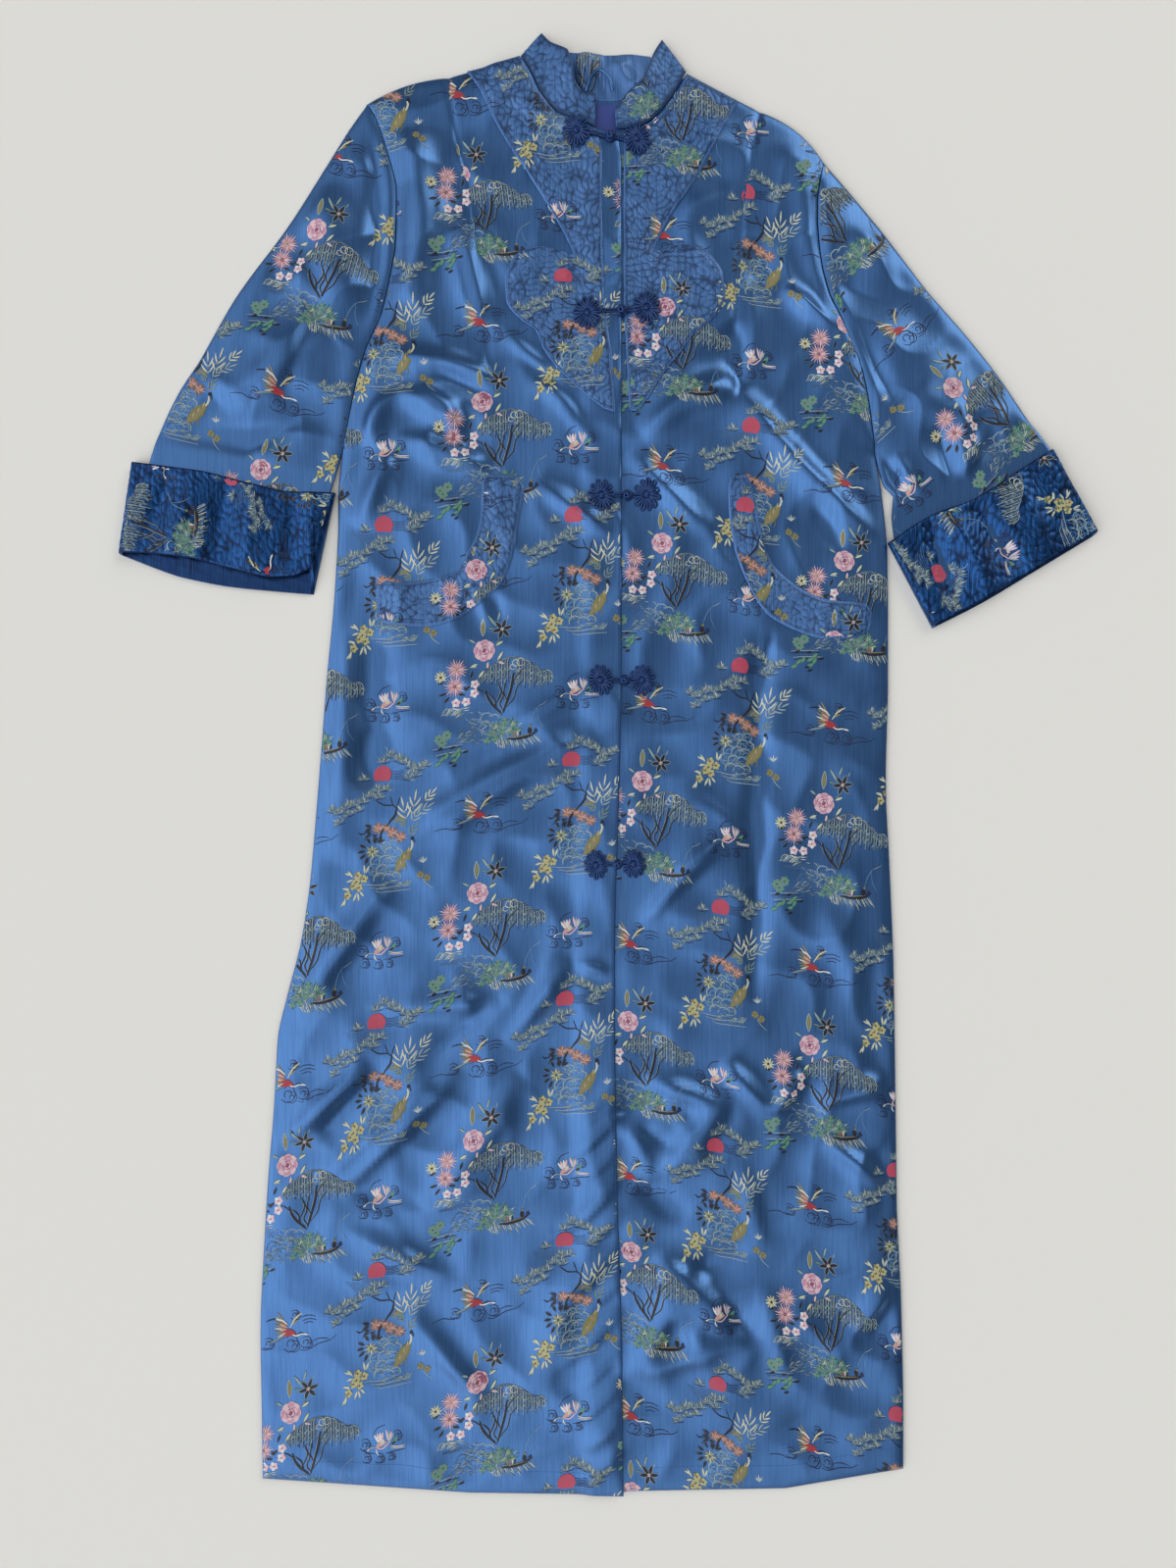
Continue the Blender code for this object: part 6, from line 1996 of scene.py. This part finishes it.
def grown(name, tree, lines, values):
    """The mesh that a tree of geometry nodes makes along lines, where a closed line ends where it starts."""
    points, edges = [], []
    for line in lines:
        first = len(points)
        closed = np.linalg.norm(np.subtract(line[0], line[-1])) < 1e-6
        points += [tuple(point) for point in (line[:-1] if closed else line)]
        last = len(points) - 1
        edges += [(k, k + 1) for k in range(first, last)]
        if closed:
            edges.append((last, first))
    mesh = bpy.data.meshes.new(name + "_lines")
    mesh.from_pydata(np.asarray(points, float) * MM, edges, [])
    made = new_object(name, mesh)
    modifier = made.modifiers.new("nodes", "NODES")
    modifier.node_group = tree
    for item in tree.interface.items_tree:
        if item.in_out == "INPUT" and item.name in values:
            modifier[item.identifier] = values[item.name]
    evaluated = made.evaluated_get(bpy.context.evaluated_depsgraph_get())
    finished = bpy.data.meshes.new_from_object(evaluated)
    made.modifiers.clear()
    made.data = finished
    finished.name = name
    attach(made, "root")
    return made


def on_ground(ground, line, lift):
    """A line of points laid on the cloth."""
    line = np.asarray(line, float)
    heights = ground(line[:, 0], line[:, 1]) + lift
    return np.concatenate([line, heights[:, None]], axis=1)[heights > -RAY_START]


def stitched(name, tree, ground, lines, material):
    """Topstitching along lines on the cloth."""
    laid = [on_ground(ground, line, STITCH_LIFT) for line in lines]
    values = {
        "Stitch pitch": STITCH_PITCH * MM, "Stitch length": STITCH_LENGTH * MM,
        "Thread radius": STITCH_RADIUS * MM, "Thread": material,
    }
    return grown(name, tree, [line for line in laid if len(line) > 2], values)


def flower_cord(x, y, half_width, ground, turn):
    """One long cord that loops out into each petal of a flower and back, and its small coil in the middle."""
    drawn = np.random.default_rng(int(1000 + 7 * x + 3 * y))
    petals = []
    step = 360 / FLOWER_PETALS
    for k in range(FLOWER_PETALS):
        angle = turn + step * (k + drawn.uniform(-0.06, 0.06))
        reach = half_width * drawn.uniform(0.97, 1.05) - CORD_RADIUS
        rise = drawn.uniform(-0.1, 0.15)
        for share, spread, height in PETAL:
            way = math.radians(angle + spread * step)
            out = reach * share
            petals.append((out * math.cos(way), out * math.sin(way) * FROG_TALL, height + rise * share))
    petals.append(petals[0])
    coil = []
    for k in range(20):
        way = math.radians(turn + 36 * k)
        radius = 0.4 + 1.7 * k / 19
        coil.append((radius * math.cos(way), radius * math.sin(way), 3.3 - 0.9 * (k / 19) ** 2))
    shares = np.linspace(-0.8, 0.8, 9)
    around = np.array([(u * half_width, v * half_width) for u in shares for v in shares])
    under = ground(around[:, 0] + x, around[:, 1] + y)
    plane = np.concatenate([around, np.ones((len(around), 1))], axis=1)
    level = np.linalg.lstsq(plane, under, rcond=None)[0]
    clear = np.percentile(under - plane @ level, 70)
    made = []
    for line, count in ((petals, 22 * FLOWER_PETALS), (coil, 34)):
        line = along(np.array(line), count, 0.8)
        base = level[0] * line[:, 0] + level[1] * line[:, 1] + level[2] + clear
        made.append(np.stack([line[:, 0] + x, line[:, 1] + y, base + line[:, 2]], axis=1))
    made[0][-1] = made[0][0]
    return made


def ball_cord(x, y, base, radius):
    """The cord of a ball knot, which weaves over and under itself as it goes round."""
    way = np.linspace(0, 6 * math.pi, 150)
    high = math.radians(58) * np.sin(4 / 3 * way)
    out = radius + 0.45 * np.cos(8 / 3 * way)
    level = out * np.cos(high)
    line = np.stack([
        x + level * np.cos(way), y + out * np.sin(high), base + radius + level * np.sin(way) * 0.8,
    ], axis=1)
    line[-1] = line[0]
    return line


def make_frog(number, row, ground, tree, cord):
    """A pair of frogs: two cord flowers, a double cord with its ball knot, and the loop round the ball."""
    right, left = np.array(row[0:2], float), np.array(row[2:4], float)
    half_width, meet = row[4:6]
    apart = np.linalg.norm(left - right)
    unit = (left - right) / apart
    aside = np.array([-unit[1], unit[0]])
    middle = right + unit * apart * meet
    clear = half_width * FLOWER_MIDDLE
    base = float(np.max(ground(np.array([middle[0]]), np.array([middle[1]]))))
    ball_radius = BALL_RADIUS * half_width / BALL_FLOWER

    def laid(line):
        """A cord's line on the cloth, and no lower than beside the knot."""
        heights = np.maximum(ground(line[:, 0], line[:, 1]), base - CORD_DROP) + CORD_RADIUS + CORD_LIFT
        return np.concatenate([line, heights[:, None]], axis=1)

    def two_cords(start, end):
        return [laid(np.linspace(start, end, 14) + aside * way * CORD_RADIUS) for way in (-1, 1)]

    ball = ball_cord(*(middle + unit * 0.5), base + CORD_LIFT, ball_radius)
    straight = two_cords(middle + unit * (ball_radius + 2.2), left - unit * clear)
    angle = np.linspace(-2.6, 2.6, 24)
    round_ball = np.outer(np.cos(angle), unit) - np.outer(np.sin(angle), aside) * 1.1
    ring = middle + unit * 0.4 - (ball_radius + 0.6) * round_ball
    route = np.concatenate([straight[0][::-1, :2], ring, straight[1][:, :2]])
    values = {"Cord radius": CORD_RADIUS * MM, "Thread": cord}
    for part, lines in (
        ("right_flower", flower_cord(*right, half_width, ground, 8)),
        ("left_flower", flower_cord(*left, half_width, ground, 19)),
        ("knot", two_cords(right + unit * clear, middle - unit * ball_radius * 0.7) + [ball]),
        ("loop", [along(laid(route), 90, 0.8)]),
    ):
        node = f"frog_{number}_{part}"
        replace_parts(grown(node + "_cord", tree, lines, values), node)


def make_hanging_loop(ground, tree, material):
    """The loop of cord inside the neck, with its ends down on the cloth."""
    route = along(LOOP_ROUTE, 40)
    heights = np.full(len(route), ground(route[:, 0], route[:, 1]).max() + LOOP_RADIUS + 0.1)
    heights[: len(LOOP_ENDS)] -= LOOP_ENDS
    heights[-len(LOOP_ENDS) :] -= LOOP_ENDS[::-1]
    loop = np.concatenate([route, heights[:, None]], axis=1)
    values = {"Cord radius": LOOP_RADIUS * MM, "Thread": material}
    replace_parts(grown("hanging_loop_cord", tree, [loop], values), "hanging_loop")


def add_floor():
    """A plain pale floor under the robe."""
    mesh = bpy.data.meshes.new("floor")
    half = FLOOR_HALF
    corners = [(-half, -half, 0), (half, -half, 0), (half, half, 0), (-half, half, 0)]
    mesh.from_pydata(corners, [], [(0, 1, 2, 3)])
    material, _ = new_material("floor_surface", FLOOR_COLOUR, 0.9)
    mesh.materials.append(material)
    made = new_object("floor", mesh)
    made.location.z = FLOOR_DROP


def add_view():
    """The camera straight above the robe, and a soft light from beyond its left shoulder."""
    camera = bpy.data.cameras.new("camera")
    camera.lens = CAMERA_LENS
    camera.sensor_width = 36.0
    made = new_object("camera", camera)
    made.location = (CAMERA_X, CAMERA_Y, CAMERA_HEIGHT)
    bpy.context.scene.camera = made
    bpy.context.scene.view_settings.view_transform = "Standard"
    light = bpy.data.lights.new("key_light", "SUN")
    light.energy = KEY_STRENGTH
    light.angle = math.radians(KEY_SPREAD)
    light.color = KEY_COLOUR
    new_object("key_light", light).rotation_euler = [math.radians(turn) for turn in KEY_TURN]


def strength(tree, value, turns, strengths):
    """How bright the room is where a value lies between its two turning points."""
    values = dict(zip(("From Min", "From Max", "To Min", "To Max"), turns + strengths))
    return new_node(tree, "ShaderNodeMapRange", {"Value": value}, values).outputs["Result"]


def add_room():
    """A pale room, brighter on one side and a little darker overhead."""
    world = bpy.data.worlds.new("room")
    world.use_nodes = True
    tree = world.node_tree
    way = new_node(tree, "ShaderNodeTexCoord").outputs["Generated"]
    facing = new_node(tree, "ShaderNodeVectorMath", {0: way}, {1: BRIGHT_SIDE}, operation="DOT_PRODUCT")
    height = new_node(tree, "ShaderNodeSeparateXYZ", {"Vector": way})
    sideways = strength(tree, facing.outputs["Value"], ROOM_TURNS, (ROOM_DIM, ROOM_BRIGHT))
    overhead = strength(tree, height.outputs["Z"], OVERHEAD_TURNS, (AROUND_BRIGHT, OVERHEAD_DIM))
    both = new_node(tree, "ShaderNodeMath", {0: sideways, 1: overhead}, operation="MULTIPLY")
    background = tree.nodes["Background"]
    background.inputs["Color"].default_value = ROOM_COLOUR
    tree.links.new(both.outputs["Value"], background.inputs["Strength"])
    bpy.context.scene.world = world


def weave_all(pieces):
    """The pattern on every piece of cloth."""
    fine, plain = whole_repeat(True), whole_repeat(False)
    made = {}

    def border(name, inset, layer=1):
        """The outline of a piece's upper layer, or of its second one, drawn in a little."""
        return drawn_in(outline_of(pieces[name][layer]), inset)

    def weave(name, place, outline, covers=()):
        made[name] = weave_on(name + "_brocade", pieces[name][0], fine, place, outline, covers)

    def weave_under(name, title, outline, covers=()):
        place = turned_grain(*GRAINS[name], True)
        made[title] = weave_on(title + "_brocade", pieces[name][0], plain, place, outline, covers, True)

    quilted = [border(name, 1.5) for name in YOKES + BANDS]
    places = []
    for name, rows, squeeze, intake, way, covers in (
        ("right_front", RIGHT_GRAIN, 1.0, 14.4, 1, quilted),
        ("left_front", LEFT_GRAIN, 0.965, 5.0, -1, quilted + [border("right_front", 2.0)]),
    ):
        places.append(front_grain(rows, squeeze, pieces[name][1][:, FINE["side_columns"] - 1], intake, way))
        weave(name, places[-1], border(name, 0.5), covers)
    for name, place in zip(YOKES, places):
        weave(name, place, border(name, 1.5))
    for name in (*BANDS, "collar_back", "collar_left"):
        plan = pieces[name][1]
        middles = plan.mean(axis=1)
        if name == "collar_back":
            plan = plan[(middles[:, 0] > COLLAR_BACK_PATTERN[0]) & (middles[:, 0] < COLLAR_BACK_PATTERN[1])]
        if name == "collar_left":
            plan = plan[middles[:, 1] < COLLAR_LEFT_PATTERN_TOP]
        weave(name, turned_grain(*GRAINS[name]), drawn_in(outline_of(plan), 1.0))
    for name, inset, under_inset, covers in (
        ("right_sleeve", 0.8, 1.0, [border("right_cuff", 3.0)]),
        ("left_sleeve", 0.8, 1.0, [border("left_cuff", 3.0)]),
        ("right_cuff", 1.0, 1.5, ()),
        ("left_cuff", 1.0, 1.5, ()),
    ):
        weave(name, turned_grain(*GRAINS[name]), border(name, inset), covers)
        weave_under(name, name + "_under", border(name, under_inset, 2), covers)
    weave_under("back", "back", border("back", 1.5))
    return made


def stitch_all(pieces, thread, deep_thread):
    """Topstitching: round yokes, bands, cuffs and collar, down the front edge and over the hems."""
    tree = stitch_tree()
    made = {}
    for insets, names in (
        (YOKE_STITCHES, YOKES), (BAND_STITCHES, BANDS), (COLLAR_STITCHES, COLLAR_ENDS),
        (CUFF_STITCHES, CUFFS),
    ):
        for name in names:
            cloth, plan = pieces[name][:2]
            edges = [drawn_in(outline_of(plan, 2), inset) for inset in insets]
            lines = [np.concatenate([edge, edge[:1]]) for edge in edges]
            title = name + "_topstitch"
            made[name] = stitched(title, tree, Ground(cloth), lines, deep_thread)
    for name in FRONTS:
        cloth, plan = pieces[name]
        lines = [plan[-1] + (0, HEM_STITCHES)]
        if name == "right_front":
            edge = plan[:, -1]
            edge = edge[edge[:, 1] < NECK_CORNER_Y - 10]
            lines += [edge - (inset, 0) for inset in FRONT_EDGE_STITCHES]
            lines.append(edge[edge[:, 1] > PLACKET_END] - (PLACKET_STITCHES, 0))
        made[name] = stitched(name + "_topstitch", tree, Ground(cloth), lines, thread)
    return made


def make_front(name, table, top, material):
    """A front panel, with its folds, its dart and its turned edges."""
    plan = fine_plan(table)
    made = turned_sheet(name + "_cloth", plan, top(plan[..., 0], plan[..., 1]), SATIN, [material])
    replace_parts(made, name)
    return made, plan


def main():
    add_view()
    add_room()
    add_floor()
    make_thread_materials()
    upright = satin("satin_brocade", SATIN_BLUE, SATIN_DEEP, 0)
    turned_right = satin("satin_brocade_right_sleeve", SATIN_BLUE, SATIN_DEEP, 13)
    turned_left = satin("satin_brocade_left_sleeve", SATIN_BLUE, SATIN_DEEP, -42)
    quilted = satin("quilted_brocade", QUILT_BLUE, QUILT_DEEP, 0, QUILT_FINISH, True)
    right_cuff_satin = satin("right_cuff_brocade", CUFF_BLUE, CUFF_DEEP, -82, CUFF_FINISH, True)
    left_cuff_satin = satin("left_cuff_brocade", CUFF_BLUE, CUFF_DEEP, 70, CUFF_FINISH, True)
    facing = satin("cuff_facing", FACING_BLUE, FACING_DEEP, 0)
    lining = plain_cloth("neck_lining_cloth", LINING_BLUE, LINING_BLUE, 900, 0.6)
    cord = plain_cloth("cord_satin", CORD_NAVY, THREAD_NAVY, 2600, 0.32, 0.5)
    thread = plain_cloth("sewing_thread", STITCH_BLUE, STITCH_BLUE, 3000, 0.5)
    deep_thread = plain_cloth("quilting_thread", STITCH_DEEP, STITCH_DEEP, 3000, 0.5)

    right_top = FrontTop(RIGHT_FRONT, RIGHT_ARMHOLE_TOP, True)
    left_top = FrontTop(LEFT_FRONT, LEFT_ARMHOLE_TOP, False)
    right, right_plan = make_front("right_front", RIGHT_FRONT, right_top, upright)
    left, left_plan = make_front("left_front", LEFT_FRONT, left_top, upright)
    pieces = {
        "right_front": (right, right_plan),
        "left_front": (left, left_plan),
        "back": make_back(right_plan, left_plan, upright),
        "right_sleeve": make_sleeve(
            "right_sleeve", right_plan, RIGHT_FRONT, RIGHT_SLEEVE_OUTER, RIGHT_SLEEVE_INNER, RIGHT_SLEEVE_END,
            RIGHT_CUFF_TURN, RIGHT_ARMHOLE_TOP, -1, turned_right,
        ),
        "left_sleeve": make_sleeve(
            "left_sleeve", left_plan, LEFT_FRONT, LEFT_SLEEVE_OUTER, LEFT_SLEEVE_INNER, LEFT_SLEEVE_END,
            LEFT_CUFF_TURN, LEFT_ARMHOLE_TOP, 1, turned_left,
        ),
        "right_cuff": make_cuff(
            "right_cuff", RIGHT_CUFF_TURN, RIGHT_CUFF_UPPER_MOUTH, RIGHT_CUFF_LOWER_MOUTH, (0.8, 1.5),
            [right_cuff_satin, facing],
        ),
        "left_cuff": make_cuff(
            "left_cuff", LEFT_CUFF_TURN, LEFT_CUFF_UPPER_MOUTH, LEFT_CUFF_LOWER_MOUTH, (0.9, 1.4),
            [left_cuff_satin, facing],
        ),
    }
    for names, tables in ((YOKES, (RIGHT_YOKE, LEFT_YOKE)), (BANDS, (RIGHT_BAND, LEFT_BAND))):
        for name, table, top in zip(names, tables, (right_top, left_top)):
            pieces[name] = make_quilted_piece(name, table, top, quilted)

    def ground_of(*names):
        return Ground(*[pieces[name][0] for name in names])

    pieces["collar_back"] = make_collar_piece("collar_back", COLLAR_BACK, None, quilted)
    under_collar = ground_of(*FRONTS, *YOKES, "collar_back", "back")
    for name, table in zip(COLLAR_ENDS, (COLLAR_RIGHT, COLLAR_LEFT)):
        pieces[name] = make_collar_piece(name, table, under_collar, quilted)
    pieces["neck_lining"] = (make_lining(lining),)

    extras = {name: [] for name in pieces}
    for made in (weave_all(pieces), stitch_all(pieces, thread, deep_thread)):
        for name, piece in made.items():
            extras[name.removesuffix("_under")].append(piece)

    cords = cord_tree()
    under_frogs = ground_of(*FRONTS, *YOKES, "collar_back", *COLLAR_ENDS, "neck_lining")
    for number, row in enumerate(FROGS, start=1):
        make_frog(number, row, under_frogs, cords, cord)
    make_hanging_loop(ground_of("collar_back", "neck_lining"), cords, turned_right)


main()
